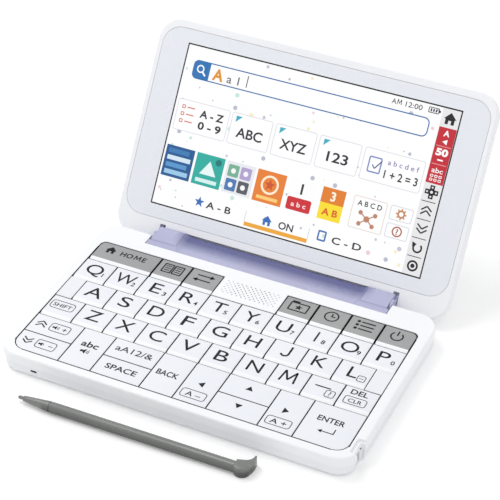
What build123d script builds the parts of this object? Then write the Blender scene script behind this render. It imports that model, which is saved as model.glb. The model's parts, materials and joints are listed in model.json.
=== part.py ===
from build123d import *
from math import cos, radians, sin
import os

os.makedirs("parts", exist_ok=True)

# Row frame: millimetres, origin at the centre of the base's underside,
# +X to the user's right, +Y towards the hinge, +Z up.

# ---- base housing ----
base_width = 151.2
base_depth = 91.4
base_height = 10.0
base_corner = 8.8
seam_height = base_height - 4.4
lower_inset = 0.4
lower_edge_radius = 2.2
upper_edge_radius = 1.0
case_wall = 1.6
inner_corner = 5.2
floor_thickness = 1.1
top_plate = 1.5

# ---- key field ----
field_columns = 10
field_side_margin = 4.6
field_rear_margin = 12.8
field_front_margin = 3.9
key_pitch = (base_width - 2 * field_side_margin) / field_columns
row_rear = base_depth / 2 - field_rear_margin
row_front = field_front_margin - base_depth / 2
row_depths = [13.0, 13.4, 13.15, 13.1, 11.2, 10.85]
row_scale = (row_rear - row_front) / sum(row_depths)
row_lines = [row_rear - row_scale * sum(row_depths[:row]) for row in range(len(row_depths) + 1)]
half_gap = 0.15
key_top = base_height
key_skirt = key_top - 1.9
key_ceiling = key_top - 1.1
key_rim = 1.0
key_slope_run = 1.9
key_slope_drop = 0.45
key_travel = 0.8
rear_field_radius = 2.6
front_field_radius = 5.6
tile_groove = 0.3
tile_groove_depth = 0.4

# ---- electronics in the base ----
board_bottom = base_height - 3.7
board_thickness = 0.6
board_side_margin = 6.1
board_rear_margin = 10.7
board_front_margin = 3.2
board_width = base_width - 2 * board_side_margin
board_rear = base_depth / 2 - board_rear_margin
board_front = board_front_margin - base_depth / 2
board_corner = 4.5
sheet_thickness = 0.3
dome_height = 0.8
dome_width = 4.0
dome_taper = 40.0
post_side_margin = 11.1
post_rear_margin = 15.7
post_front_margin = 16.7
post_radius = 2.1
pilot_radius = 0.8
lid_post_radius = 2.0
screw_recess_radius = 2.0
screw_recess_depth = 0.6
battery_length = 62.0
battery_width = 44.0
battery_clearance = 0.8
battery_thickness = board_bottom - floor_thickness - battery_clearance
bridge_middle = (row_lines[0] + row_lines[1]) / 2
speaker_y = bridge_middle + 1.8
speaker_radius = 8.0
speaker_thickness = 2.4
speaker_relief = 0.4
speaker_hole_radius = 0.4
speaker_hole_pitch = 2.02
speaker_rows = 8
speaker_columns = 8
speaker_row_pitch = 1.07
grille_y = bridge_middle + 1.1
jack_y = -8.0
jack_z = 3.6
jack_radius = 1.8
jack_mouth_radius = 1.9
jack_length = 12.0
jack_body_width = 6.0
usb_y = 9.0
usb_width = 7.8
usb_height = 2.6
usb_opening_clearance = 0.3
strap_x = 16.8 - base_width / 2
strap_z = 3.5
strap_length = 2.8
strap_height = 1.0

# ---- stylus store in the base ----
silo_y = 9.5 - base_depth / 2
silo_width = 4.8
silo_left = -19.0
silo_wall = 0.8
silo_notch_depth = 2.0
silo_notch_length = 7.0
thumb_step_depth = 3.4
thumb_step_length = 8.4
thumb_step_height = 1.2
notch_boss_inner = base_width / 2 - 4.3

# ---- hinge ----
hinge_y = base_depth / 2 + 1.1
hinge_z = base_height - 2.9
lid_angle = 123.8
barrel_radius = 5.7
barrel_half = base_width / 2 - 22.4
crest_height = hinge_z + 3.5
barrel_end_wall = 7.0
cable_run_radius = 2.6
notch_half = barrel_half + 1.4
notch_front = hinge_y - 7.9
foot_half = notch_half - 0.4
foot_rear = notch_front + 3.1
foot_bottom = 0.4
scoop_half = barrel_half - 10.2
scoop_front = notch_front + 1.0
scoop_middle = hinge_y - 1.4
scoop_rear = hinge_y + 6.0
scoop_blend = 5.0
arm_thickness = 0.9
arm_disc_radius = 3.5
arm_reach = 24.0
arm_flange = 9.0
arm_flange_start = 10.2
shaft_radius = 2.0
shaft_clearance = 0.05
shaft_length = 5.6
bore_depth = 8.0
arm_slot_width = 2.6
arm_slot_rise = 1.1

# ---- lid, drawn in the lid's own plane: X across, Y up from the hinge axis ----
lid_half = base_width / 2 - 0.15
lid_bottom = -1.4
lid_top = 92.5
lid_corner = 9.8
closed_gap = 0.3
lid_thickness = 7.0
lid_front_depth = 2.7
lid_back_radius = 2.8
lid_front_chamfer = 0.6
lid_wall = 1.5
lid_back_wall = 1.3
relief_radius = 6.05
relief_half = barrel_half + 1.3
chin_line = 5.3
panel_half = lid_half - 2.25
panel_bottom = 8.2
panel_top = lid_top - 3.3
panel_corner = 8.2
panel_thickness = 0.8
panel_clearance = 0.15
shelf_thickness = 1.0
window_half = panel_half - 11.85
window_bottom = panel_bottom + 5.75
window_top = panel_top - 5.75
cover_post_margin = 5.85
cover_rib_side_margin = 16.35
cover_rib_end_margin = 4.75
lcd_body_margin = 4.2
lcd_body_thickness = 2.6
lcd_glass_setback = 0.15
window_clearance = 0.25

# ---- stylus ----
stylus_x = -57.5
stylus_y = -base_depth / 2 - 13.3
stylus_turn = 0.7
stylus_length = 98.4
stylus_radius = 2.2
nib_length = 2.6
nib_radius = 0.7
ring_at = 14.0
ring_width = 0.9
ring_depth = 0.3
head_length = 6.4

field_half = key_pitch * field_columns / 2
plate_under = base_height - top_plate
board_top = board_bottom + board_thickness
sheet_top = board_top + sheet_thickness
lid_face = -(base_height + closed_gap - hinge_z)
lid_seam = lid_face - lid_front_depth
lid_back = lid_face - lid_thickness
lid_plane = Plane(
    origin=(0, hinge_y, hinge_z),
    x_dir=(1, 0, 0),
    z_dir=(0, -sin(radians(lid_angle)), -cos(radians(lid_angle))),
)


def column_x(column):
    """X of a column line, counted in key pitches from the field's left side."""
    return column * key_pitch - field_half


def save(part, label):
    """Name one sub-part and write it as its own STEP file."""
    part.label = label
    export_step(part, "parts/" + label + ".step")


def hinge_notch(inset):
    """Take the rear middle of the outline away, where the hinge block sits."""
    depth = base_depth
    with Locations((0, notch_front - inset + depth / 2)):
        Rectangle(2 * (notch_half + inset), depth, mode=Mode.SUBTRACT)


def screw_posts():
    """Places of the posts that carry the board."""
    post_x = base_width / 2 - post_side_margin
    post_rear = base_depth / 2 - post_rear_margin
    post_front = post_front_margin - base_depth / 2
    rear_pair = [(-post_x, post_rear), (post_x, post_rear)]
    return rear_pair + [(-post_x, post_front), (post_x, post_front), (0, post_front)]


# ======================= keyboard bezel: the base's top half =======================
with BuildPart() as keyboard_bezel:
    with BuildSketch(Plane.XY.offset(seam_height)):
        RectangleRounded(base_width, base_depth, base_corner)
    extrude(amount=base_height - seam_height)
    fillet(keyboard_bezel.edges().group_by(Axis.Z)[-1], upper_edge_radius)
    with BuildSketch(Plane.XY.offset(seam_height)) as bezel_hollow:
        Rectangle(base_width - 2 * case_wall, base_depth - 2 * case_wall)
        chamfer(bezel_hollow.vertices(), inner_corner)
        hinge_notch(case_wall)
    extrude(amount=plate_under - seam_height, mode=Mode.SUBTRACT)
    with BuildSketch(Plane.XY.offset(seam_height)):
        with Locations((0, notch_front + base_depth / 2)):
            Rectangle(2 * notch_half, base_depth)
    extrude(amount=base_height, mode=Mode.SUBTRACT)
    with BuildSketch(Plane.XY.offset(plate_under)) as key_field:
        with Locations((0, (row_rear + row_front) / 2)):
            Rectangle(2 * (field_half + half_gap), row_rear - row_front + 2 * half_gap)
        fillet(key_field.vertices().group_by(Axis.Y)[-1], rear_field_radius)
        fillet(key_field.vertices().group_by(Axis.Y)[0], front_field_radius)
    extrude(amount=top_plate, mode=Mode.SUBTRACT)
    # speaker bridge between the two groups of function keys
    with BuildSketch(Plane.XY.offset(plate_under)):
        with Locations((0, (row_lines[0] + row_lines[1]) / 2 + half_gap)):
            Rectangle(2 * key_pitch - 2 * half_gap, row_lines[0] - row_lines[1])
    extrude(amount=top_plate)
    # blank half tiles at the ends of the second letter row
    with BuildSketch(Plane.XY.offset(plate_under)):
        for side in (-1, 1):
            tile_middle = side * (field_half - key_pitch / 4 + half_gap)
            with Locations((tile_middle, (row_lines[2] + row_lines[3]) / 2)):
                Rectangle(key_pitch / 2, row_lines[2] - row_lines[3] - 2 * half_gap)
    extrude(amount=top_plate)
    with BuildSketch(Plane.XY.offset(base_height - tile_groove_depth)):
        for side in (-1, 1):
            with Locations((side * field_half, (row_lines[2] + row_lines[3]) / 2)):
                Rectangle(tile_groove, row_lines[2] - row_lines[3])
    extrude(amount=tile_groove_depth, mode=Mode.SUBTRACT)
    # staggered sound holes
    with BuildSketch(Plane.XY.offset(plate_under)):
        for row in range(speaker_rows):
            shift = speaker_hole_pitch / 4 - speaker_hole_pitch / 2 * (row % 2)
            row_y = grille_y + (row - (speaker_rows - 1) / 2) * speaker_row_pitch
            with Locations((shift, row_y)):
                with GridLocations(speaker_hole_pitch, 1, speaker_columns, 1):
                    RegularPolygon(speaker_hole_radius, 4)
    extrude(amount=top_plate, mode=Mode.SUBTRACT)
    # thumb notch where the stylus goes in: a boss closes the wall behind it
    boss_outer = base_width / 2 - case_wall / 2
    with BuildSketch(Plane.XY.offset(board_bottom + 0.2)):
        with Locations(((notch_boss_inner + boss_outer) / 2, silo_y)):
            Rectangle(boss_outer - notch_boss_inner, silo_notch_length + 2 * case_wall)
    extrude(amount=plate_under - board_bottom - 0.2)
    with BuildSketch(Plane.XY.offset(base_height - thumb_step_height)):
        with Locations((base_width / 2, silo_y)):
            RectangleRounded(2 * thumb_step_depth, thumb_step_length, 1.2)
    extrude(amount=base_height, mode=Mode.SUBTRACT)
    with BuildSketch(Plane.XY.offset(seam_height)):
        with Locations((base_width / 2, silo_y)):
            RectangleRounded(2 * silo_notch_depth, silo_notch_length, 0.8)
    extrude(amount=base_height, mode=Mode.SUBTRACT)
    with BuildSketch(Plane.YZ.offset(base_width / 2 - 2 * case_wall)):
        with Locations((silo_y, floor_thickness + silo_width / 2)):
            Rectangle(silo_width, silo_width)
    extrude(amount=3 * case_wall, mode=Mode.SUBTRACT)
    # micro USB opening
    with BuildSketch(Plane.YZ.offset(-base_width / 2)):
        with Locations((usb_y, board_bottom - usb_height / 2)):
            Rectangle(
                usb_width + 2 * usb_opening_clearance, usb_height + 2 * usb_opening_clearance
            )
    extrude(amount=2 * case_wall, mode=Mode.SUBTRACT)
save(keyboard_bezel.part, "keyboard_bezel")

# ======================= bottom case with stylus tunnel and posts =======================
with BuildPart() as bottom_case:
    with BuildSketch():
        RectangleRounded(
            base_width - 2 * lower_inset, base_depth - 2 * lower_inset, base_corner - lower_inset
        )
    extrude(amount=seam_height)
    fillet(bottom_case.edges().group_by(Axis.Z)[0], lower_edge_radius)
    with BuildSketch(Plane.XY.offset(floor_thickness)) as case_hollow:
        inner_inset = 2 * (lower_inset + case_wall)
        Rectangle(base_width - inner_inset, base_depth - inner_inset)
        chamfer(case_hollow.vertices(), inner_corner)
        hinge_notch(case_wall)
    extrude(amount=base_height, mode=Mode.SUBTRACT)
    with BuildSketch(Plane.XY):
        with Locations((0, notch_front + base_depth / 2)):
            Rectangle(2 * notch_half, base_depth)
    extrude(amount=base_height, mode=Mode.SUBTRACT)
    # posts under the board
    with BuildSketch(Plane.XY.offset(floor_thickness)):
        with Locations(screw_posts()):
            RegularPolygon(post_radius, 8)
    extrude(amount=board_bottom - floor_thickness)
    # stiffening ribs on the floor
    with BuildSketch(Plane.XY.offset(floor_thickness)):
        with Locations((34, 4)):
            with GridLocations(20, 1, 3, 1):
                Rectangle(0.8, 56)
    extrude(amount=1.2)
    # stylus tunnel
    tunnel_width = silo_width + 2 * silo_wall
    tunnel_right = base_width / 2 - lower_inset - case_wall
    with BuildSketch(Plane.XY.offset(floor_thickness)):
        with Locations(((silo_left - silo_wall + tunnel_right) / 2, silo_y)):
            Rectangle(tunnel_right - silo_left + silo_wall, tunnel_width)
    extrude(amount=board_bottom - floor_thickness)
    with BuildSketch(Plane.YZ.offset(silo_left)):
        with Locations((silo_y, floor_thickness + silo_width / 2)):
            Rectangle(silo_width, silo_width)
    extrude(amount=base_width, mode=Mode.SUBTRACT)
    with BuildSketch(Plane.XY):
        with Locations((base_width / 2, silo_y)):
            RectangleRounded(2 * silo_notch_depth, silo_notch_length, 0.8)
    extrude(amount=base_height, mode=Mode.SUBTRACT)
    # screw recesses and pilot holes
    with BuildSketch(Plane.XY):
        with Locations(screw_posts()):
            RegularPolygon(screw_recess_radius, 12)
    extrude(amount=screw_recess_depth, mode=Mode.SUBTRACT)
    with BuildSketch(Plane.XY):
        with Locations(screw_posts()):
            RegularPolygon(pilot_radius, 6)
    extrude(amount=board_bottom - 0.8, mode=Mode.SUBTRACT)
    # strap slot in the front wall
    with BuildSketch(Plane.XZ.offset(base_depth / 2)):
        with Locations((strap_x, strap_z)):
            SlotOverall(strap_length, strap_height)
    extrude(amount=-1.9, mode=Mode.SUBTRACT)
    # earphone and micro USB openings
    with BuildSketch(Plane.YZ.offset(-base_width / 2)):
        with Locations((jack_y, jack_z)):
            Circle(jack_mouth_radius)
        with Locations((usb_y, board_bottom - usb_height / 2)):
            Rectangle(
                usb_width + 2 * usb_opening_clearance, usb_height + 2 * usb_opening_clearance
            )
    extrude(amount=2.5 * case_wall, mode=Mode.SUBTRACT)
save(bottom_case.part, "bottom_case")

# ======================= hinge block =======================
strip_front_height = base_height - 0.2
strip_rear_height = base_height + 0.1
with BuildPart() as scoop:
    with BuildSketch(Plane.YZ.offset(-scoop_half)):
        with BuildLine():
            ThreePointArc(
                (scoop_front - 1.5, base_height - 0.5),
                (scoop_middle, hinge_z + 1.4),
                (scoop_rear, hinge_z + 1.9),
            )
            Polyline(
                (scoop_rear, hinge_z + 1.9),
                (scoop_rear, 3 * base_height),
                (scoop_front - 1.5, 3 * base_height),
                (scoop_front - 1.5, base_height - 0.5),
            )
        make_face()
    extrude(amount=2 * scoop_half)
    fillet(
        scoop.edges().filter_by(GeomType.CIRCLE).group_by(Axis.X)[0]
        + scoop.edges().filter_by(GeomType.CIRCLE).group_by(Axis.X)[-1],
        scoop_blend,
    )

with BuildPart() as hinge_barrel:
    with BuildSketch(Plane.YZ.offset(-barrel_half)):
        with Locations((hinge_y, hinge_z)):
            Circle(barrel_radius)
        with BuildLine():
            Polyline(
                (notch_front, strip_front_height),
                (notch_front, foot_bottom),
                (hinge_y - 1.5, foot_bottom),
                (hinge_y + 2.0, hinge_z - barrel_radius + 0.4),
                (hinge_y, hinge_z),
                (foot_rear, strip_rear_height),
                close=True,
            )
        make_face()
        # flat crest, just under the lid's swing
        with Locations((hinge_y, crest_height + barrel_radius)):
            Rectangle(4 * barrel_radius, 2 * barrel_radius, mode=Mode.SUBTRACT)
    extrude(amount=2 * barrel_half)
    # light strip along the bezel, wider than the barrel
    with BuildSketch(Plane.YZ.offset(-foot_half)):
        with BuildLine():
            Polyline(
                (notch_front, foot_bottom),
                (foot_rear, foot_bottom),
                (foot_rear, strip_rear_height),
                (notch_front, strip_front_height),
                close=True,
            )
        make_face()
    extrude(amount=2 * foot_half)
    # finger trough that falls away from the bezel towards the lid
    add(scoop.part, mode=Mode.SUBTRACT)
    # run of the flat cable under the trough
    with BuildSketch(Plane.YZ.offset(-barrel_half + barrel_end_wall)):
        with Locations((hinge_y - 0.4, hinge_z - 2.3)):
            RegularPolygon(cable_run_radius, 8)
    extrude(amount=2 * (barrel_half - barrel_end_wall), mode=Mode.SUBTRACT)
    # blind bores for the hinge shafts, which meet the cable run
    for side in (-1, 1):
        with BuildSketch(Plane.YZ.offset(min(side * barrel_half, side * (barrel_half - bore_depth)))):
            with Locations((hinge_y, hinge_z)):
                Circle(shaft_radius + shaft_clearance)
        extrude(amount=bore_depth, mode=Mode.SUBTRACT)
save(hinge_barrel.part, "hinge_barrel")

# ======================= hinge arms, one at each end of the barrel =======================
def lid_side(x):
    """Plane across the hinge axis, drawn as height up the lid and depth."""
    return Plane(origin=(x, hinge_y, hinge_z), x_dir=lid_plane.y_dir, z_dir=(1, 0, 0))


arm_inner = barrel_half + 0.15
lid_floor = lid_back + lid_back_wall
with BuildPart() as hinge_arms:
    for side in (-1, 1):
        near = min(side * arm_inner, side * (arm_inner + arm_thickness))
        with BuildSketch(lid_side(near)):
            Circle(arm_disc_radius)
            with BuildLine():
                Polyline(
                    (-2.6, -2.3),
                    (-0.6, lid_floor),
                    (arm_flange_start, lid_floor),
                    (arm_flange_start, lid_floor + arm_thickness),
                    (9.2, -7.0),
                    (9.2, -6.4),
                    (4.4, -4.2),
                    (3.2, -1.4),
                    close=True,
                )
            make_face()
        extrude(amount=arm_thickness)
        flange_near = min(side * arm_inner, side * (arm_inner + arm_flange))
        with BuildSketch(lid_side(flange_near)):
            with Locations(((9.6 + arm_reach) / 2, lid_floor + arm_thickness / 2)):
                Rectangle(arm_reach - 9.6, arm_thickness)
        extrude(amount=arm_flange)
        with BuildSketch(lid_plane.offset(lid_floor)):
            with Locations((side * (arm_inner + arm_flange - 2.6), arm_reach - 6.0)):
                with GridLocations(1, 7, 1, 2):
                    RegularPolygon(0.9, 6)
        extrude(amount=arm_thickness, mode=Mode.SUBTRACT)
        shaft_far = min(side * arm_inner, side * (arm_inner - shaft_length))
        with BuildSketch(lid_side(shaft_far)):
            Circle(shaft_radius)
        extrude(amount=shaft_length)
save(hinge_arms.part, "hinge_arms")


# ======================= lid =======================
lid_mid = (lid_top + lid_bottom) / 2
lid_height = lid_top - lid_bottom
panel_mid = (panel_top + panel_bottom) / 2
window_mid = (window_top + window_bottom) / 2
pocket_bottom = 9.3
lid_axis = Axis(lid_plane.origin, lid_plane.z_dir)


def lid_outline():
    """Draw the lid's rounded outline."""
    with Locations((0, lid_mid)):
        RectangleRounded(2 * lid_half, lid_height, lid_corner)


def lid_pocket():
    """Draw the hollow inside the lid's walls, above the hinge side."""
    top = lid_top - lid_wall
    with Locations((0, (top + pocket_bottom) / 2)):
        Rectangle(2 * (lid_half - lid_wall), top - pocket_bottom)


def lid_posts():
    """Places of the screw posts along the lid's sides."""
    post_x = lid_half - cover_post_margin
    heights = (window_bottom + 1.05, lid_top - 42.5, lid_top - 8.5)
    return [(side * post_x, height) for side in (-1, 1) for height in heights]


def window(clearance, mode=Mode.ADD):
    """Draw the display window, smaller by the clearance."""
    height = window_top - window_bottom - 2 * clearance
    with Locations((0, window_mid)):
        Rectangle(2 * (window_half - clearance), height, mode=mode)


# room for the barrel and the arms, taken out of both halves of the lid
with BuildPart() as barrel_relief:
    with BuildSketch(lid_side(-relief_half)):
        Circle(relief_radius)
    extrude(amount=2 * relief_half)
    for side in (-1, 1):
        slot_near = min(side * (barrel_half - 0.1), side * relief_half)
        with BuildSketch(lid_side(slot_near)):
            with Locations(((pocket_bottom + 0.5 - 4.0) / 2, lid_floor + 2.2)):
                Rectangle(pocket_bottom + 0.5 + 4.0, 4.4)
        extrude(amount=relief_half - barrel_half + 0.1)


with BuildPart() as lid_cover:
    with BuildSketch(lid_plane.offset(lid_back)):
        lid_outline()
    extrude(amount=lid_thickness - lid_front_depth)
    fillet(lid_cover.faces().sort_by(lid_axis)[0].edges(), lid_back_radius)
    with BuildSketch(lid_plane.offset(lid_floor)) as cover_hollow:
        lid_pocket()
        chamfer(cover_hollow.vertices(), inner_corner)
    extrude(amount=lid_thickness, mode=Mode.SUBTRACT)
    with BuildSketch(lid_plane.offset(lid_floor)):
        with Locations(lid_posts()):
            RegularPolygon(lid_post_radius, 6)
    extrude(amount=lid_seam - lid_floor)
    with BuildSketch(lid_plane.offset(lid_floor)):
        with Locations((0, window_mid)):
            with GridLocations(25, 1, 4, 1):
                Rectangle(0.8, window_top - window_bottom - 2 * cover_rib_end_margin)
            with GridLocations(1, 20, 1, 3):
                Rectangle(2 * (window_half - cover_rib_side_margin), 0.8)
    extrude(amount=0.8)
    add(barrel_relief.part, mode=Mode.SUBTRACT)
save(lid_cover.part, "lid_cover")

with BuildPart() as lid_frame:
    with BuildSketch(lid_plane.offset(lid_seam)):
        lid_outline()
    extrude(amount=lid_front_depth)
    chamfer(lid_frame.faces().sort_by(lid_axis)[-1].edges(), lid_front_chamfer)
    recess_floor = lid_face - panel_thickness - 0.05
    with BuildSketch(lid_plane.offset(recess_floor)):
        with Locations((0, panel_mid)):
            RectangleRounded(2 * panel_half, panel_top - panel_bottom, panel_corner)
    extrude(amount=lid_front_depth, mode=Mode.SUBTRACT)
    with BuildSketch(lid_plane.offset(lid_seam)) as frame_hollow:
        lid_pocket()
        chamfer(frame_hollow.vertices(), inner_corner)
    extrude(amount=recess_floor - shelf_thickness - lid_seam, mode=Mode.SUBTRACT)
    with BuildSketch(lid_plane.offset(lid_seam)):
        window(0)
    extrude(amount=lid_front_depth, mode=Mode.SUBTRACT)
    with BuildSketch(lid_plane.offset(lid_seam)):
        with Locations((0, chin_line - 10)):
            Rectangle(2 * relief_half, 20)
        # room for the arms at the ends of the chin
        for side in (-1, 1):
            with Locations((side * (relief_half - arm_slot_width / 2), chin_line + arm_slot_rise - 5)):
                Rectangle(arm_slot_width, 10)
    extrude(amount=lid_front_depth, mode=Mode.SUBTRACT)
    add(barrel_relief.part, mode=Mode.SUBTRACT)
save(lid_frame.part, "lid_frame")

with BuildPart() as display_panel:
    with BuildSketch(lid_plane.offset(recess_floor)):
        with Locations((0, panel_mid)):
            RectangleRounded(
                2 * (panel_half - panel_clearance),
                panel_top - panel_bottom - 2 * panel_clearance,
                panel_corner - panel_clearance,
            )
        window(0, Mode.SUBTRACT)
    extrude(amount=panel_thickness)
save(display_panel.part, "display_panel")

with BuildPart() as lcd_module:
    lcd_top = recess_floor - shelf_thickness
    with BuildSketch(lid_plane.offset(lcd_top - lcd_body_thickness)):
        window(-lcd_body_margin)
    extrude(amount=lcd_body_thickness)
    with BuildSketch(lid_plane.offset(lcd_top)):
        window(window_clearance)
    extrude(amount=lid_face - 0.05 - lcd_glass_setback - lcd_top)
    # rear frame edge of the backlight
    with BuildSketch(lid_plane.offset(lcd_top - lcd_body_thickness)):
        window(4.0)
    extrude(amount=0.4, mode=Mode.SUBTRACT)
save(lcd_module.part, "lcd_module")

# ======================= electronics in the base =======================
with BuildPart() as main_board:
    with BuildSketch(Plane.XY.offset(board_bottom)) as board_outline:
        with Locations((0, (board_rear + board_front) / 2)):
            Rectangle(board_width, board_rear - board_front)
        chamfer(board_outline.vertices(), board_corner)
        with Locations((0, speaker_y)):
            RegularPolygon(speaker_radius + speaker_relief, 16, mode=Mode.SUBTRACT)
    extrude(amount=board_thickness)
    # processor, memory and power chips under the board
    with BuildSketch(Plane.XY.offset(board_bottom - 1.2)):
        with Locations((24, 8)):
            Rectangle(14, 14)
        with Locations((44, 12)):
            Rectangle(10, 14)
        with Locations((44, -8), (24, -12)):
            Rectangle(6, 6)
    extrude(amount=1.2)
    # earphone socket
    with BuildSketch(Plane.YZ.offset(-base_width / 2 + 2.4 * case_wall)):
        with Locations((jack_y, (floor_thickness + board_bottom) / 2)):
            Rectangle(jack_body_width, board_bottom - floor_thickness)
        with Locations((jack_y, jack_z)):
            Circle(jack_radius, mode=Mode.SUBTRACT)
    extrude(amount=jack_length)
    # micro USB socket: a thin shell round its tongue
    with BuildSketch(Plane.YZ.offset(-base_width / 2 + 1.2 * case_wall)):
        with Locations((usb_y, board_bottom - usb_height / 2)):
            Rectangle(usb_width, usb_height)
            Rectangle(usb_width - 0.6, usb_height - 0.6, mode=Mode.SUBTRACT)
            Rectangle(usb_width - 2.6, 0.6)
    extrude(amount=5.0)
    with BuildSketch(Plane.YZ.offset(-base_width / 2 + 1.2 * case_wall + 4.4)):
        with Locations((usb_y, board_bottom - usb_height / 2)):
            Rectangle(usb_width, usb_height)
    extrude(amount=0.6)
save(main_board.part, "main_board")

with BuildPart() as battery_pack:
    with BuildSketch(Plane.XY.offset(floor_thickness)):
        with Locations((-22.0, 0)):
            Rectangle(battery_length, battery_width)
    extrude(amount=battery_thickness)
save(battery_pack.part, "battery_pack")

with BuildPart() as speaker:
    with BuildSketch(Plane.XY.offset(plate_under - speaker_thickness)):
        with Locations((0, speaker_y)):
            RegularPolygon(speaker_radius, 16)
    extrude(amount=speaker_thickness)
    with BuildSketch(Plane.XY.offset(plate_under - speaker_thickness - 0.8)):
        with Locations((0, speaker_y)):
            RegularPolygon(speaker_radius - 3.0, 12)
    extrude(amount=0.8)
save(speaker.part, "speaker")

# ======================= keys =======================
key_layout = [
    ("key_home", 0, 2, 0, 1),
    ("key_words", 2, 3, 0, 1),
    ("key_phrases", 3, 4, 0, 1),
    ("key_folder", 6, 7, 0, 1),
    ("key_history", 7, 8, 0, 1),
    ("key_list", 8, 9, 0, 1),
    ("key_power", 9, 10, 0, 1),
    ("key_shift", 0, 1, 3, 4),
    ("key_dash", 8, 9, 3, 4),
    ("key_delete", 9, 10, 3, 4),
    ("key_page_up", 0, 1.5, 4, 5),
    ("key_page_down", 0, 1.5, 5, 6),
    ("key_voice", 1.5, 2.5, 4, 6),
    ("key_symbol", 2.5, 4, 4, 5),
    ("key_space", 2.5, 4, 5, 6),
    ("key_back", 4, 5, 4, 6),
    ("key_left", 5, 6, 4, 6),
    ("key_up", 6, 7.5, 4, 5),
    ("key_down", 6, 7.5, 5, 6),
    ("key_right", 7.5, 8.5, 4, 6),
    ("key_enter", 8.5, 10, 4, 6),
]
for first_column, row, letters in ((0, 1, "qwertyuiop"), (0.5, 2, "asdfghjkl"), (1, 3, "zxcvbnm")):
    for index, letter in enumerate(letters):
        column = first_column + index
        key_layout.append(("key_" + letter, column, column + 1, row, row + 1))

corner_keys = {
    "key_home": (-1, 0, rear_field_radius),
    "key_power": (-1, -1, rear_field_radius),
    "key_page_down": (0, 0, front_field_radius),
    "key_enter": (0, -1, front_field_radius),
}


def key_cap(label, left, right, rear_line, front_line):
    """Make one hollow keytop, with a sloped front strip on the upper rows."""
    width = (right - left) * key_pitch - 2 * half_gap
    rear = row_lines[rear_line] - half_gap
    front = row_lines[front_line] + half_gap
    middle = (column_x((left + right) / 2), (rear + front) / 2)
    rim = 2 * key_rim if label in corner_keys else key_rim
    with BuildPart() as cap:
        with BuildSketch(Plane.XY.offset(key_skirt)) as outline:
            with Locations(middle):
                Rectangle(width, rear - front)
            if label in corner_keys:
                row_pick, side_pick, radius = corner_keys[label]
                corner_row = outline.vertices().group_by(Axis.Y)[row_pick]
                fillet(corner_row.sort_by(Axis.X)[side_pick], radius - half_gap)
        extrude(amount=key_top - key_skirt)
        if front_line <= 4:
            with BuildSketch(Plane.YZ.offset(column_x(left))):
                with BuildLine():
                    Polyline(
                        (front - 0.1, key_top + 0.1),
                        (front + key_slope_run, key_top + 0.1),
                        (front + key_slope_run, key_top),
                        (front, key_top - key_slope_drop),
                        (front - 0.1, key_top - key_slope_drop),
                        close=True,
                    )
                make_face()
            extrude(amount=(right - left) * key_pitch, mode=Mode.SUBTRACT)
        with BuildSketch(Plane.XY.offset(key_skirt)):
            with Locations(middle):
                Rectangle(width - 2 * rim, rear - front - 2 * key_rim)
        extrude(amount=key_ceiling - key_skirt, mode=Mode.SUBTRACT)
    save(cap.part, label)


for key in key_layout:
    key_cap(*key)

# ======================= rubber dome sheet =======================
with BuildPart() as key_sheet:
    with BuildSketch(Plane.XY.offset(board_top)) as sheet_outline:
        with Locations((0, (board_rear + board_front) / 2)):
            Rectangle(board_width - 2, board_rear - board_front - 2)
        chamfer(sheet_outline.vertices(), board_corner)
        with Locations((0, speaker_y)):
            RegularPolygon(speaker_radius + speaker_relief, 16, mode=Mode.SUBTRACT)
    extrude(amount=sheet_thickness)
    with BuildSketch(Plane.XY.offset(sheet_top)):
        for label, left, right, rear_line, front_line in key_layout:
            dome_y = (row_lines[rear_line] + row_lines[front_line]) / 2
            with Locations((column_x((left + right) / 2), dome_y)):
                Rectangle(dome_width, dome_width)
    extrude(amount=dome_height, taper=dome_taper)
save(key_sheet.part, "key_sheet")

# ======================= stylus, laid in front of the base =======================
stylus_axis = Plane(
    origin=(stylus_x, stylus_y, stylus_radius),
    x_dir=(cos(radians(stylus_turn)), sin(radians(stylus_turn)), 0),
    z_dir=(sin(radians(stylus_turn)), -cos(radians(stylus_turn)), 0),
)
head_start = stylus_length - head_length
with BuildPart() as stylus:
    with BuildSketch(stylus_axis):
        with BuildLine():
            ThreePointArc((0, 0), (0.25, 0.5), (0.7, nib_radius))
            Line((0.7, nib_radius), (nib_length, nib_radius))
            Line((nib_length, nib_radius), (nib_length, nib_radius + 0.4))
            Line((nib_length, nib_radius + 0.4), (ring_at, stylus_radius))
            Line((ring_at, stylus_radius), (ring_at, stylus_radius - ring_depth))
            Line(
                (ring_at, stylus_radius - ring_depth),
                (ring_at + ring_width, stylus_radius - ring_depth),
            )
            Line(
                (ring_at + ring_width, stylus_radius - ring_depth),
                (ring_at + ring_width, stylus_radius),
            )
            Line((ring_at + ring_width, stylus_radius), (head_start + 1.0, stylus_radius))
            Line((head_start + 1.0, stylus_radius), (head_start + 1.0, 0))
            Line((head_start + 1.0, 0), (0, 0))
        make_face()
    revolve(axis=Axis(stylus_axis.origin, stylus_axis.x_dir))
    # hooked thumb head
    head_plane = Plane(
        origin=stylus_axis.origin + stylus_axis.x_dir * head_start - Vector(0, 0, stylus_radius - 0.1),
        x_dir=stylus_axis.x_dir,
        z_dir=(0, 0, 1),
    )
    with BuildSketch(head_plane):
        with BuildLine():
            ThreePointArc((0.0, -1.7), (3.6, -2.5), (5.7, 0.2))
            ThreePointArc((5.7, 0.2), (6.3, 3.1), (6.0, 6.1))
            Line((6.0, 6.1), (5.4, 6.2))
            ThreePointArc((5.4, 6.2), (4.5, 3.6), (2.4, 2.4))
            Line((2.4, 2.4), (0.0, 1.7))
            Line((0.0, 1.7), (0.0, -1.7))
        make_face()
    extrude(amount=2 * stylus_radius + 0.2)
save(stylus.part, "stylus")
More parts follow.
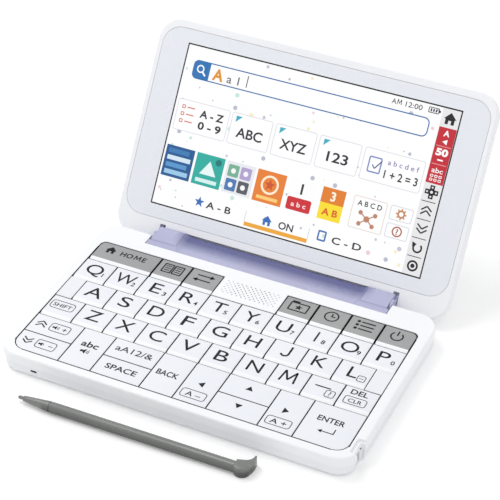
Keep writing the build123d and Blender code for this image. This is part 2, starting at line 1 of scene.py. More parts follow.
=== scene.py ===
"""Visual model of a folding electronic dictionary with a full keyboard and a stylus.

The frame gives the solids in metres, with +X to the reader's right, +Y towards the hinge and +Z up.
Sizes in the classes below are millimetres, unless their docstring says otherwise. Flat art is drawn in
millimetres on its own page and then laid on the keys, the display or the case, so that every finished piece
keeps its place in its mesh.
"""

import json
import logging
import math
import random
from contextlib import contextmanager
from dataclasses import dataclass, field
from enum import Enum
from functools import cache
from typing import Callable, Iterator, Optional, Sequence

import bpy
from mathutils import Euler, Matrix, Quaternion, Vector

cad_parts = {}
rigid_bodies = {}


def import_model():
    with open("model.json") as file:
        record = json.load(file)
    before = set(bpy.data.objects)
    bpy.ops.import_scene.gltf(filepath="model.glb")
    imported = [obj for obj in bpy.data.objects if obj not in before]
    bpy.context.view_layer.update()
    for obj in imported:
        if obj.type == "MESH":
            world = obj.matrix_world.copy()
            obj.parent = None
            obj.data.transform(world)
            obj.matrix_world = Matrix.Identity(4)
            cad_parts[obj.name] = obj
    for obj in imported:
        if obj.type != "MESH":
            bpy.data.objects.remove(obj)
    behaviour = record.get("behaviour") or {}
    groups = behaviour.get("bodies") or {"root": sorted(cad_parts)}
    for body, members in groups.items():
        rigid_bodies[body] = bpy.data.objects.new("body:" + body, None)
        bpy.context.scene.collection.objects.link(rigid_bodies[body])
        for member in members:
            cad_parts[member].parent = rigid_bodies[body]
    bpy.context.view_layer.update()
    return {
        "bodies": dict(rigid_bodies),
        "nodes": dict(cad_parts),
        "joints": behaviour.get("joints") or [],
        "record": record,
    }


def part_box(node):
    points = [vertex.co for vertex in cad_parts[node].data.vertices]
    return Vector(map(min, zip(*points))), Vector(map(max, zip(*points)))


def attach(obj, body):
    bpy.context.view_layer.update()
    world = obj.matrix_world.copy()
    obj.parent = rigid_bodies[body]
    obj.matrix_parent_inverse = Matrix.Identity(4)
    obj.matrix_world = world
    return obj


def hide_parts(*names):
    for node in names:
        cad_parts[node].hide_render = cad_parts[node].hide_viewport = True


LOG = logging.getLogger("dictionary")
MM = 0.001
TOUCH = 1e-5  # metres within which two places count as one
CAPITAL = 0.729  # height of a capital of the built-in face, as a share of its size

Rgb = tuple[int, int, int]
Shade = tuple[float, float, float, float]
Point = tuple[float, float]
Place = tuple[float, float, float]
Sides = tuple[float, float, float, float]
BLACK: Shade = (0.0, 0.0, 0.0, 1.0)
WHITE: Shade = (1.0, 1.0, 1.0, 1.0)


def linear(colour: Rgb, share: float = 1.0) -> Shade:
    """Turn a display colour into the linear values that a shader takes.

    Args:
        colour: Red, green and blue from 0 to 255, as the colour looks on a screen.
        share: How much of its light is left, where 1 is all of it.

    Returns:
        Linear red, green and blue, and a fourth channel of 1.
    """

    def channel(value: int) -> float:
        """Undo the display curve for one channel."""
        shown = value / 255.0
        return share * (shown / 12.92 if shown <= 0.04045 else ((shown + 0.055) / 1.055) ** 2.4)

    return (channel(colour[0]), channel(colour[1]), channel(colour[2]), 1.0)


def faces_down(_: Vector, normal: Vector) -> bool:
    """Say whether a face looks straight down."""
    return normal.z < -0.9


# --------------------------------------------------------------------------------------
# Modelling bench
# --------------------------------------------------------------------------------------


class Pick(Enum):
    """What kind of mesh element a selection is made of."""

    VERTEX = "VERT"
    EDGE = "EDGE"
    FACE = "FACE"


class Bench:
    """The workbench: selection and edit-mode helpers round Blender's own modelling operators."""

    @staticmethod
    def clear() -> None:
        """Leave nothing selected."""
        bpy.ops.object.select_all(action="DESELECT")

    @staticmethod
    def take(obj: bpy.types.Object) -> None:
        """Make one object the only selected and active one.

        Args:
            obj: The object to work on.
        """
        Bench.clear()
        obj.select_set(True)
        bpy.context.view_layer.objects.active = obj

    @staticmethod
    @contextmanager
    def editing(obj: bpy.types.Object, kind: Pick = Pick.VERTEX) -> Iterator[None]:
        """Open an object in edit mode for the length of a with-block.

        Args:
            obj: The object to edit.
            kind: The selection mode to work in.

        Yields:
            Nothing; operators inside the block act on the object's selected elements.
        """
        Bench.take(obj)
        bpy.ops.object.mode_set(mode="EDIT")
        bpy.ops.mesh.select_mode(type=kind.value)
        try:
            yield
        finally:
            bpy.ops.object.mode_set(mode="OBJECT")

    @staticmethod
    def pick(obj: bpy.types.Object, kind: Pick, test: Callable[[Vector, Vector], bool]) -> None:
        """Select the elements of a mesh that pass a test, and no others.

        Args:
            obj: The object whose mesh is searched.
            kind: Vertices, edges or faces.
            test: Gets an element's middle and its direction: a face's or vertex's normal, or an edge's run.
        """
        mesh = obj.data
        for group in (mesh.vertices, mesh.edges, mesh.polygons):
            group.foreach_set("select", [False] * len(group))
        if kind is Pick.VERTEX:
            for vertex in mesh.vertices:
                vertex.select = test(vertex.co, vertex.normal)
        elif kind is Pick.EDGE:
            for edge in mesh.edges:
                start, end = (mesh.vertices[index].co for index in edge.vertices)
                edge.select = test((start + end) / 2, (end - start).normalized())
        else:
            for face in mesh.polygons:
                face.select = test(face.center, face.normal)

    @staticmethod
    def bevel(obj: bpy.types.Object, width: float, segments: int = 3) -> None:
        """Round the picked edges.

        Args:
            obj: The object whose edges are picked.
            width: How far the rounding reaches along each face.
            segments: How many strips the rounding has.
        """
        with Bench.editing(obj, Pick.EDGE):
            bpy.ops.mesh.bevel(offset=width, segments=segments, affect="EDGES", clamp_overlap=True)

    @staticmethod
    def block(name: str, low: Vector, high: Vector) -> bpy.types.Object:
        """Add a box between two corners, as the start of a piece.

        Args:
            name: The piece's name.
            low: The lowest corner, in metres.
            high: The highest corner, in metres.

        Returns:
            The new object, at the origin, with its place in its mesh.
        """
        Bench.clear()
        bpy.ops.mesh.primitive_cube_add(size=1.0, location=(low + high) / 2, scale=tuple(high - low))
        return Bench.seat(bpy.context.active_object, name)

    @staticmethod
    def drum(name: str, middle: Vector, radius: float, depth: float, sides: int = 40) -> bpy.types.Object:
        """Add an upright cylinder, as the start of a round piece.

        Args:
            name: The piece's name.
            middle: Its centre, in metres.
            radius: Its radius, in metres.
            depth: Its height, in metres.
            sides: How many sides approximate the round.

        Returns:
            The new object, at the origin, with its place in its mesh.
        """
        Bench.clear()
        bpy.ops.mesh.primitive_cylinder_add(vertices=sides, radius=radius, depth=depth, location=middle)
        return Bench.seat(bpy.context.active_object, name)

    @staticmethod
    def seat(obj: bpy.types.Object, name: str) -> bpy.types.Object:
        """Name an object and move its place, turn and scale into its mesh.

        Args:
            obj: The object to seat.
            name: Its new name.

        Returns:
            The same object.
        """
        obj.name = name
        obj.data.name = name
        Bench.take(obj)
        bpy.ops.object.transform_apply(location=True, rotation=True, scale=True)
        return obj

    @staticmethod
    def repeat(mould: bpy.types.Mesh, name: str, shift: Vector) -> bpy.types.Object:
        """Copy a modelled piece to another place, with a mesh of its own.

        Args:
            mould: The mesh of the piece that was modelled.
            name: The copy's name.
            shift: How far the copy lies from the modelled piece, in metres.

        Returns:
            The copy, at the origin, with its place in its mesh.
        """
        mesh = mould.copy()
        mesh.name = name
        mesh.transform(Matrix.Translation(shift))
        twin = bpy.data.objects.new(name, mesh)
        bpy.context.scene.collection.objects.link(twin)
        return twin

    @staticmethod
    def smooth(obj: bpy.types.Object, angle: float = 32.0) -> None:
        """Shade a piece smooth, and keep its edges sharper than an angle crisp.

        Args:
            obj: The piece.
            angle: The sharpest turn that still shades smooth, in degrees.
        """
        Bench.take(obj)
        bpy.ops.object.shade_smooth_by_angle(angle=math.radians(angle))

    @staticmethod
    def deliver(obj: bpy.types.Object, body: str, slot: str = "") -> bpy.types.Object:
        """Hang a finished piece on its body.

        Args:
            obj: The finished piece.
            body: The body it moves with.
            slot: Not used.

        Returns:
            The same piece.
        """
        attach(obj, body)
        LOG.info("piece %s on %s, %d faces", obj.name, body, len(obj.data.polygons))
        return obj


# --------------------------------------------------------------------------------------
# Shader building blocks
# --------------------------------------------------------------------------------------


class Graph:
    """A short hand for writing one node tree."""

    def __init__(self, tree: bpy.types.NodeTree) -> None:
        """Start with an empty tree.

        Args:
            tree: The node tree to fill.
        """
        self.tree = tree
        tree.nodes.clear()

    def add(self, kind: str, settings: Optional[dict] = None, **inputs: object) -> bpy.types.Node:
        """Add a node, set its options and fill or link its inputs.

        Args:
            kind: The node's type name.
            settings: Options of the node itself.
            inputs: Values or output sockets, by socket name with underscores for spaces.

        Returns:
            The new node.
        """
        node = self.tree.nodes.new(kind)
        for option, value in (settings or {}).items():
            setattr(node, option, value)
        for label, value in inputs.items():
            self.feed(node, label.replace("_", " "), value)
        return node

    def feed(self, node: bpy.types.Node, socket: object, value: object) -> None:
        """Give one input a value or a link.

        Args:
            node: The node that is fed.
            socket: The input's name or number.
            value: A plain value, or an output socket to link from.
        """
        target = node.inputs[socket]
        if isinstance(value, bpy.types.NodeSocket):
            self.tree.links.new(value, target)
        else:
            target.default_value = value

    def math(self, operation: str, first: object, second: object = 0.0, third: object = 0.0) -> bpy.types.NodeSocket:
        """Do one sum.

        Args:
            operation: The sum's name, such as ADD.
            first: A value or socket.
            second: A value or socket.
            third: A value or socket, for sums of three.

        Returns:
            The socket that holds the result.
        """
        node = self.tree.nodes.new("ShaderNodeMath")
        node.operation = operation
        for index, value in enumerate((first, second, third)):
            self.feed(node, index, value)
        return node.outputs[0]

    def between(self, share: object, first: object, second: object) -> bpy.types.NodeSocket:
        """Mix two colours.

        Args:
            share: How much of the second colour shows, from 0 to 1.
            first: The colour at 0.
            second: The colour at 1.

        Returns:
            The mixed colour's socket.
        """
        node = self.tree.nodes.new("ShaderNodeMix")
        node.data_type = "RGBA"
        self.feed(node, 0, share)
        self.feed(node, 6, first)
        self.feed(node, 7, second)
        return node.outputs[2]

    def remap(self, value: object, low: float, high: float, to_low: float, to_high: float) -> bpy.types.NodeSocket:
        """Stretch a range of values to another range.

        Args:
            value: The value or socket to stretch.
            low: The lowest value that counts.
            high: The highest value that counts.
            to_low: What the lowest becomes.
            to_high: What the highest becomes.

        Returns:
            The result's socket.
        """
        node = self.tree.nodes.new("ShaderNodeMapRange")
        for index, entry in enumerate((value, low, high, to_low, to_high)):
            self.feed(node, index, entry)
        return node.outputs[0]

    def seen(self) -> bpy.types.NodeSocket:
        """Tell the rays that look at a surface from those that only carry its light.

        Returns:
            A socket that holds 1 for direct, mirrored and see-through views, and 0 for the rest.
        """
        rays = self.add("ShaderNodeLightPath")
        direct = self.math("MAXIMUM", rays.outputs["Is Camera Ray"], rays.outputs["Is Glossy Ray"])
        return self.math("MAXIMUM", direct, rays.outputs["Is Transmission Ray"])


class Effects:
    """Node groups that several finishes share, each built once."""

    @staticmethod
    def begin(
        name: str, inputs: dict[str, Optional[float]], outputs: Sequence[str]
    ) -> tuple[Graph, list[bpy.types.NodeSocket], bpy.types.Node]:
        """Open a new group with named sockets.

        Args:
            name: The group's name.
            inputs: Each input's name with its default value, or with None for a vector.
            outputs: The names of the outputs, which are plain values.

        Returns:
            A graph on the group's tree, the sockets that bring its inputs, and the node that takes its outputs.
        """
        tree = bpy.data.node_groups.new(name, "ShaderNodeTree")
        graph = Graph(tree)
        for label, default in inputs.items():
            kind = "NodeSocketVector" if default is None else "NodeSocketFloat"
            socket = tree.interface.new_socket(name=label, in_out="INPUT", socket_type=kind)
            if default is not None:
                socket.default_value = default
        for label in outputs:
            tree.interface.new_socket(name=label, in_out="OUTPUT", socket_type="NodeSocketFloat")
        source = tree.nodes.new("NodeGroupInput")
        return graph, [source.outputs[label] for label in inputs], tree.nodes.new("NodeGroupOutput")

    @staticmethod
    @cache
    def grain() -> bpy.types.NodeTree:
        """Fine spark-eroded grain of moulded plastic.

        Returns:
            A group with a mask and a height that change over the surface.
        """
        inputs = {"Vector": None, "Cells per metre": 4000.0}
        graph, (vector, cells), sink = Effects.begin("mould_grain", inputs, ("Mask", "Height"))
        noise = graph.add("ShaderNodeTexNoise", Vector=vector, Scale=cells, Detail=3.0, Roughness=0.6)
        cell = graph.add("ShaderNodeTexVoronoi", Vector=vector, Scale=cells)
        graph.feed(sink, 0, graph.remap(noise.outputs[0], 0.3, 0.7, 0.0, 1.0))
        graph.feed(sink, 1, graph.math("MULTIPLY_ADD", cell.outputs[0], 0.5, noise.outputs[0]))
        return graph.tree

    @staticmethod
    @cache
    def drift() -> bpy.types.NodeTree:
        """Slow change of tone across a moulding, as cooling leaves it.

        Returns:
            A group with one mask.
        """
        inputs = {"Vector": None, "Waves per metre": 18.0}
        graph, (vector, waves), sink = Effects.begin("tone_drift", inputs, ("Mask",))
        broad = graph.add("ShaderNodeTexNoise", Vector=vector, Scale=waves, Detail=2.0)
        graph.feed(sink, 0, graph.remap(broad.outputs[0], 0.35, 0.65, 0.0, 1.0))
        return graph.tree

    @staticmethod
    @cache
    def handling() -> bpy.types.NodeTree:
        """Faint smudges and hairlines that a gloss surface picks up in the hand.

        Returns:
            A group with one mask, to be laid on the roughness.
        """
        inputs = {"Vector": None, "Smudges per metre": 60.0}
        graph, (vector, smudges), sink = Effects.begin("handling_marks", inputs, ("Mask",))
        stretch = graph.add("ShaderNodeMapping", Vector=vector, Scale=(1.0, 9.0, 1.0), Rotation=(0.3, 0.2, 0.9))
        hair = graph.add("ShaderNodeTexNoise", Vector=stretch.outputs[0], Scale=900.0, Detail=4.0)
        smear = graph.add("ShaderNodeTexNoise", Vector=vector, Scale=smudges, Detail=5.0, Roughness=0.65)
        lines = graph.remap(hair.outputs[0], 0.62, 0.72, 0.0, 0.6)
        blots = graph.remap(smear.outputs[0], 0.45, 0.75, 0.0, 1.0)
        graph.feed(sink, 0, graph.math("MAXIMUM", lines, blots))
        return graph.tree

    @staticmethod
    @cache
    def box_mask() -> bpy.types.NodeTree:
        """Picks out a box round a middle, by half sizes, with a crisp edge.

        Returns:
            A group with one mask.
        """
        inputs = {"Vector": None, "Middle": None, "Half size": None}
        graph, (vector, middle, half), sink = Effects.begin("box_mask", inputs, ("Mask",))
        away = graph.add("ShaderNodeVectorMath", {"operation": "SUBTRACT"})
        graph.feed(away, 0, vector)
        graph.feed(away, 1, middle)
        size = graph.add("ShaderNodeVectorMath", {"operation": "ABSOLUTE"})
        graph.feed(size, 0, away.outputs[0])
        apart = graph.add("ShaderNodeSeparateXYZ", Vector=size.outputs[0])
        limits = graph.add("ShaderNodeSeparateXYZ", Vector=half)
        inside = [graph.math("LESS_THAN", apart.outputs[i], limits.outputs[i]) for i in range(3)]
        graph.feed(sink, 0, graph.math("MULTIPLY", graph.math("MULTIPLY", inside[0], inside[1]), inside[2]))
        return graph.tree


# --------------------------------------------------------------------------------------
# Finishes
# --------------------------------------------------------------------------------------


class Coat(Graph):
    """The graph of one material: its shader, and the object's own coordinates in metres."""

    def __init__(self, tree: bpy.types.NodeTree) -> None:
        """Start with a plain shader.

        Args:
            tree: The material's node tree.
        """
        super().__init__(tree)
        sink = self.add("ShaderNodeOutputMaterial")
        self.place = self.add("ShaderNodeTexCoord").outputs["Object"]
        self.shader = self.add("ShaderNodeBsdfPrincipled")
        self.feed(sink, "Surface", self.shader.outputs[0])

    def show(self, label: str, value: object) -> None:
        """Give one input of the shader a value or a link."""
        self.feed(self.shader, label, value)

    def shown(self, label: str) -> bpy.types.NodeSocket:
        """Fetch the socket that one input of the shader is linked from."""
        return self.shader.inputs[label].links[0].from_socket

    def relief(self, height: bpy.types.NodeSocket, strength: float, depth: float) -> None:
        """Bend the shader's normal by a height: how strongly, and how many millimetres deep."""
        bump = self.add("ShaderNodeBump", Height=height, Strength=strength, Distance=depth * MM)
        self.show("Normal", bump.outputs[0])

    def effect(self, group: bpy.types.NodeTree, **inputs: object) -> bpy.types.Node:
        """Place a shared node group, fed from the object's own coordinates unless told otherwise.

        Args:
            group: The group to place.
            inputs: Values for its inputs, with underscores for spaces.

        Returns:
            The group's node.
        """
        return self.add("ShaderNodeGroup", {"node_tree": group}, **{"Vector": self.place, **inputs})


@dataclass(frozen=True)
class Finish:
    """What all finishes share: a name, and a material that is built once."""

    name: str

    def material(self) -> bpy.types.Material:
        """Build the material, or fetch it if it is already built.

        Returns:
            The finished material.
        """
        known = bpy.data.materials.get(self.name)
        if known is not None:
            return known
        made = bpy.data.materials.new(self.name)
        made.use_nodes = True
        self.paint(Coat(made.node_tree))
        return made

    def paint(self, coat: Coat) -> None:
        """Wire the finish's own pattern into the shader.

        Args:
            coat: The material's graph.
        """
        raise NotImplementedError


@dataclass(frozen=True)
class Plastic(Finish):
    """Injection-moulded plastic with a fine grain and a slow drift of tone."""

    colour: Rgb
    shade: Rgb
    roughness: float = 0.42
    swing: float = 0.08
    cells: float = 5200.0
    bump: float = 0.06
    specular: float = 0.4
    depth: float = 0.02
    grain_share: float = 0.25

    def paint(self, coat: Coat) -> None:
        """Tone drift on the colour, handling marks on the roughness, grain on the height.

        Args:
            coat: The material's graph.
        """
        drift = coat.effect(Effects.drift())
        grain = coat.effect(Effects.grain(), Cells_per_metre=self.cells)
        marks = coat.effect(Effects.handling())
        slow = coat.math("MULTIPLY", drift.outputs[0], 1.0 - self.grain_share)
        tone = coat.math("MULTIPLY_ADD", grain.outputs["Mask"], self.grain_share, slow)
        coat.show("Base Color", coat.between(tone, linear(self.colour), linear(self.shade)))
        coat.show("Roughness", coat.math("MULTIPLY_ADD", marks.outputs[0], self.swing, self.roughness))
        coat.relief(grain.outputs["Height"], self.bump, self.depth)
        coat.show("Specular IOR Level", self.specular)


@dataclass(frozen=True)
class Patch:
    """A box-shaped place on a moulding that shows another colour."""

    middle: Place
    half: Place
    colour: Rgb


@dataclass(frozen=True)
class PatchedPlastic(Plastic):
    """Plastic with painted or shaded places, the same on the left and the right unless told otherwise."""

    patches: tuple[Patch, ...] = ()
    mirrored: bool = True
    film_shade: float = 0.94

    def paint(self, coat: Coat) -> None:
        """Plastic as elsewhere, with each patch laid over it.

        Args:
            coat: The material's graph.
        """
        super().paint(coat)
        shown = coat.shown("Base Color")
        where = coat.place
        if self.mirrored:
            apart = coat.add("ShaderNodeSeparateXYZ", Vector=coat.place)
            side = coat.math("ABSOLUTE", apart.outputs[0])
            where = coat.add("ShaderNodeCombineXYZ", X=side, Y=apart.outputs[1], Z=apart.outputs[2]).outputs[0]
        film = coat.effect(Effects.grain(), Cells_per_metre=self.cells)
        for patch in self.patches:
            half = Vector(patch.half) * MM
            box = coat.effect(Effects.box_mask(), Vector=where, Middle=Vector(patch.middle) * MM, Half_size=half)
            tint = coat.between(film.outputs["Mask"], linear(patch.colour), linear(patch.colour, self.film_shade))
            shown = coat.between(box.outputs[0], shown, tint)
        coat.show("Base Color", shown)


@dataclass(frozen=True)
class GradedPlastic(Plastic):
    """Plastic whose colour runs into a second one along one axis; the second colour is painted shade."""

    far: Rgb = (0, 0, 0)
    axis: int = 2
    start: float = 0.0
    end: float = 1.0
    half_width: float = 500.0
    blend: float = 2.0

    def paint(self, coat: Coat) -> None:
        """Plastic as elsewhere, with the painted shade of the second colour growing along the axis.

        Args:
            coat: The material's graph.
        """
        super().paint(coat)
        near = coat.shown("Base Color")
        apart = coat.add("ShaderNodeSeparateXYZ", Vector=coat.place)
        along = coat.remap(apart.outputs[self.axis], self.start * MM, self.end * MM, 0.0, 1.0)
        side = coat.math("ABSOLUTE", apart.outputs[0])
        inside = coat.remap(side, (self.half_width - self.blend) * MM, (self.half_width + self.blend) * MM, 1.0, 0.0)
        share = coat.math("MULTIPLY", along, inside)
        coat.show("Base Color", coat.between(share, near, linear(self.far)))


@dataclass(frozen=True)
class PrintedFilm(Finish):
    """A clear film printed from behind, running from one tint at its foot to another at its head."""

    foot: Rgb
    head: Rgb
    lowest: float = 13.0
    highest: float = 80.0
    half_width: float = 73.0
    side_shade: float = 0.05
    dot_shade: float = 0.03
    cells: float = 3600.0
    roughness: float = 0.22
    swing: float = 0.08
    bump: float = 0.02
    depth: float = 0.01
    specular: float = 0.3

    def paint(self, coat: Coat) -> None:
        """An upright tint, a little deeper to the right, with fine print dots under a smooth coat.

        Args:
            coat: The material's graph.
        """
        apart = coat.add("ShaderNodeSeparateXYZ", Vector=coat.place)
        upright = coat.remap(apart.outputs[2], self.lowest * MM, self.highest * MM, 0.0, 1.0)
        across = coat.remap(apart.outputs[0], -self.half_width * MM, self.half_width * MM, 0.0, self.side_shade)
        dots = coat.effect(Effects.grain(), Cells_per_metre=self.cells)
        marks = coat.effect(Effects.handling())
        tint = coat.between(upright, linear(self.foot), linear(self.head))
        deeper = coat.math("MULTIPLY_ADD", dots.outputs["Mask"], self.dot_shade, across)
        coat.show("Base Color", coat.between(deeper, tint, BLACK))
        coat.show("Roughness", coat.math("MULTIPLY_ADD", marks.outputs[0], self.swing, self.roughness))
        coat.relief(dots.outputs["Height"], self.bump, self.depth)
        coat.show("Specular IOR Level", self.specular)


@dataclass(frozen=True)
class Ink(Finish):
    """Screen-printed ink with a slightly uneven film; the grille's dimples use it for painted shade."""

    colour: Rgb
    thin: Rgb
    cells: float = 2600.0
    roughness: Point = (0.5, 0.65)
    bump: float = 0.05
    depth: float = 0.01
    specular: float = 0.2

    def paint(self, coat: Coat) -> None:
        """Uneven density and a dry, faintly pitted surface.

        Args:
            coat: The material's graph.
        """
        density = coat.effect(Effects.grain(), Cells_per_metre=self.cells)
        shown = coat.between(density.outputs["Mask"], linear(self.colour), linear(self.thin))
        coat.show("Base Color", shown)
        coat.show("Roughness", coat.remap(density.outputs["Mask"], 0.0, 1.0, *self.roughness))
        coat.relief(density.outputs["Height"], self.bump, self.depth)
        coat.show("Specular IOR Level", self.specular)


@dataclass(frozen=True)
class Lit(Finish):
    """A colour shown by the backlit display, with the pixel rows that carry it under nearly black glass."""

    colour: Rgb
    row_scale: float = 350.0
    row_shade: float = 0.96
    glass: tuple[Shade, Shade] = ((0.02, 0.02, 0.022, 1.0), (0.03, 0.03, 0.03, 1.0))
    roughness: Point = (0.22, 0.3)
    specular: float = 0.1

    def paint(self, coat: Coat) -> None:
        """Light from the pixels, a little dimmer between their rows.

        Args:
            coat: The material's graph.
        """
        rows = coat.add("ShaderNodeTexWave", {"bands_direction": "X"}, Vector=coat.place, Scale=self.row_scale)
        cloud = coat.add("ShaderNodeTexNoise", Vector=coat.place, Scale=40.0)
        dim = coat.math("MULTIPLY_ADD", rows.outputs["Fac"], 0.25, coat.math("MULTIPLY", cloud.outputs[0], 0.5))
        coat.show("Base Color", coat.between(dim, *self.glass))
        coat.show("Emission Color", coat.between(dim, linear(self.colour), linear(self.colour, self.row_shade)))
        coat.show("Emission Strength", 1.0)
        coat.show("Roughness", coat.remap(cloud.outputs[0], 0.0, 1.0, *self.roughness))
        coat.show("Specular IOR Level", self.specular)


@dataclass(frozen=True)
class Metal(Finish):
    """Drawn or brushed metal."""

    colour: Rgb
    shade: Rgb
    roughness: float = 0.32
    swing: float = 0.12
    bump: float = 0.08
    depth: float = 0.02

    def paint(self, coat: Coat) -> None:
        """Long brush lines on the colour, the roughness and the height.

        Args:
            coat: The material's graph.
        """
        stretch = coat.add("ShaderNodeMapping", Vector=coat.place, Scale=(1.0, 14.0, 14.0))
        lines = coat.add("ShaderNodeTexNoise", Vector=stretch.outputs[0], Scale=420.0, Detail=5.0)
        share = coat.remap(lines.outputs[0], 0.35, 0.65, 0.0, 1.0)
        coat.show("Base Color", coat.between(share, linear(self.colour), linear(self.shade)))
        coat.show("Roughness", coat.math("MULTIPLY_ADD", share, self.swing, self.roughness))
        coat.relief(lines.outputs[0], self.bump, self.depth)
        coat.show("Metallic", 1.0)


@dataclass(frozen=True)
class Foil(Metal):
    """The crinkled silver pouch of a flat cell."""

    crease: float = 0.35
    crease_depth: float = 0.3

    def paint(self, coat: Coat) -> None:
        """Soft creases over the metal.

        Args:
            coat: The material's graph.
        """
        super().paint(coat)
        creases = coat.add("ShaderNodeTexVoronoi", {"feature": "SMOOTH_F1"}, Vector=coat.place, Scale=260.0)
        coat.relief(creases.outputs[0], self.crease, self.crease_depth)


@dataclass(frozen=True)
class CircuitBoard(Finish):
    """Green solder mask over copper tracks, with gold pads, a black socket and a steel one."""

    mask: Rgb = (28, 92, 58)
    track: Rgb = (44, 122, 78)
    pad: Rgb = (214, 178, 96)
    socket: Patch = Patch((-65.8, -8.0, 3.7), (6.4, 3.2, 2.59), (38, 39, 42))
    steel: Patch = Patch((-71.2, 9.0, 3.7), (2.8, 4.1, 2.59), (178, 180, 184))
    pad_radius: float = 0.14
    roughness: Point = (0.34, 0.28)

    def paint(self, coat: Coat) -> None:
        """Square track runs under the mask, and small pads on a grid.

        Args:
            coat: The material's graph.
        """
        bricks = {"Color1": BLACK, "Color2": BLACK, "Mortar": WHITE, "Mortar_Size": 0.06}
        runs = coat.add("ShaderNodeTexBrick", Vector=coat.place, Scale=170.0, **bricks)
        spots = coat.add("ShaderNodeTexVoronoi", Vector=coat.place, Scale=330.0, Randomness=0.35)
        pads = coat.math("LESS_THAN", spots.outputs["Distance"], self.pad_radius)
        green = coat.between(runs.outputs["Color"], linear(self.mask), linear(self.track))
        shown, metal = coat.between(pads, green, linear(self.pad)), pads
        for fitting, shine in ((self.socket, 0.0), (self.steel, 1.0)):
            half = Vector(fitting.half) * MM
            box = coat.effect(Effects.box_mask(), Middle=Vector(fitting.middle) * MM, Half_size=half)
            shown = coat.between(box.outputs[0], shown, linear(fitting.colour))
            metal = coat.remap(box.outputs[0], 0.0, 1.0, metal, shine)
        coat.show("Base Color", shown)
        coat.show("Metallic", metal)
        coat.show("Roughness", coat.remap(pads, 0.0, 1.0, *self.roughness))


@dataclass(frozen=True)
class Rubber(Finish):
    """Soft moulded rubber with a dull, dusty surface."""

    colour: Rgb
    dust: Rgb
    cells: float = 1800.0
    dust_share: float = 0.6
    roughness: Point = (0.7, 0.88)
    bump: float = 0.2
    depth: float = 0.05

    def paint(self, coat: Coat) -> None:
        """Dust in the grain of a matte surface.

        Args:
            coat: The material's graph.
        """
        grain = coat.effect(Effects.grain(), Cells_per_metre=self.cells)
        dust = coat.math("MULTIPLY", grain.outputs["Mask"], self.dust_share)
        coat.show("Base Color", coat.between(dust, linear(self.colour), linear(self.dust)))
        coat.show("Roughness", coat.remap(grain.outputs["Mask"], 0.0, 1.0, *self.roughness))
        coat.relief(grain.outputs["Height"], self.bump, self.depth)


@dataclass(frozen=True)
class TableTop(Finish):
    """A matte white table that looks white to the camera and still takes shadows."""

    colour: Rgb = (250, 250, 250)
    fleck: Rgb = (251, 251, 251)
    roughness: Point = (0.78, 0.84)
    lift: float = 0.13

    def paint(self, coat: Coat) -> None:
        """Faintly mottled white, with a little light of its own that only direct and mirrored views see.

        Args:
            coat: The material's graph.
        """
        drift = coat.effect(Effects.drift())
        coat.show("Base Color", coat.between(drift.outputs[0], linear(self.colour), linear(self.fleck)))
        coat.show("Roughness", coat.remap(drift.outputs[0], 0.0, 1.0, *self.roughness))
        coat.show("Specular IOR Level", 0.0)
        coat.show("Emission Color", WHITE)
        coat.show("Emission Strength", coat.math("MULTIPLY", coat.seen(), self.lift))


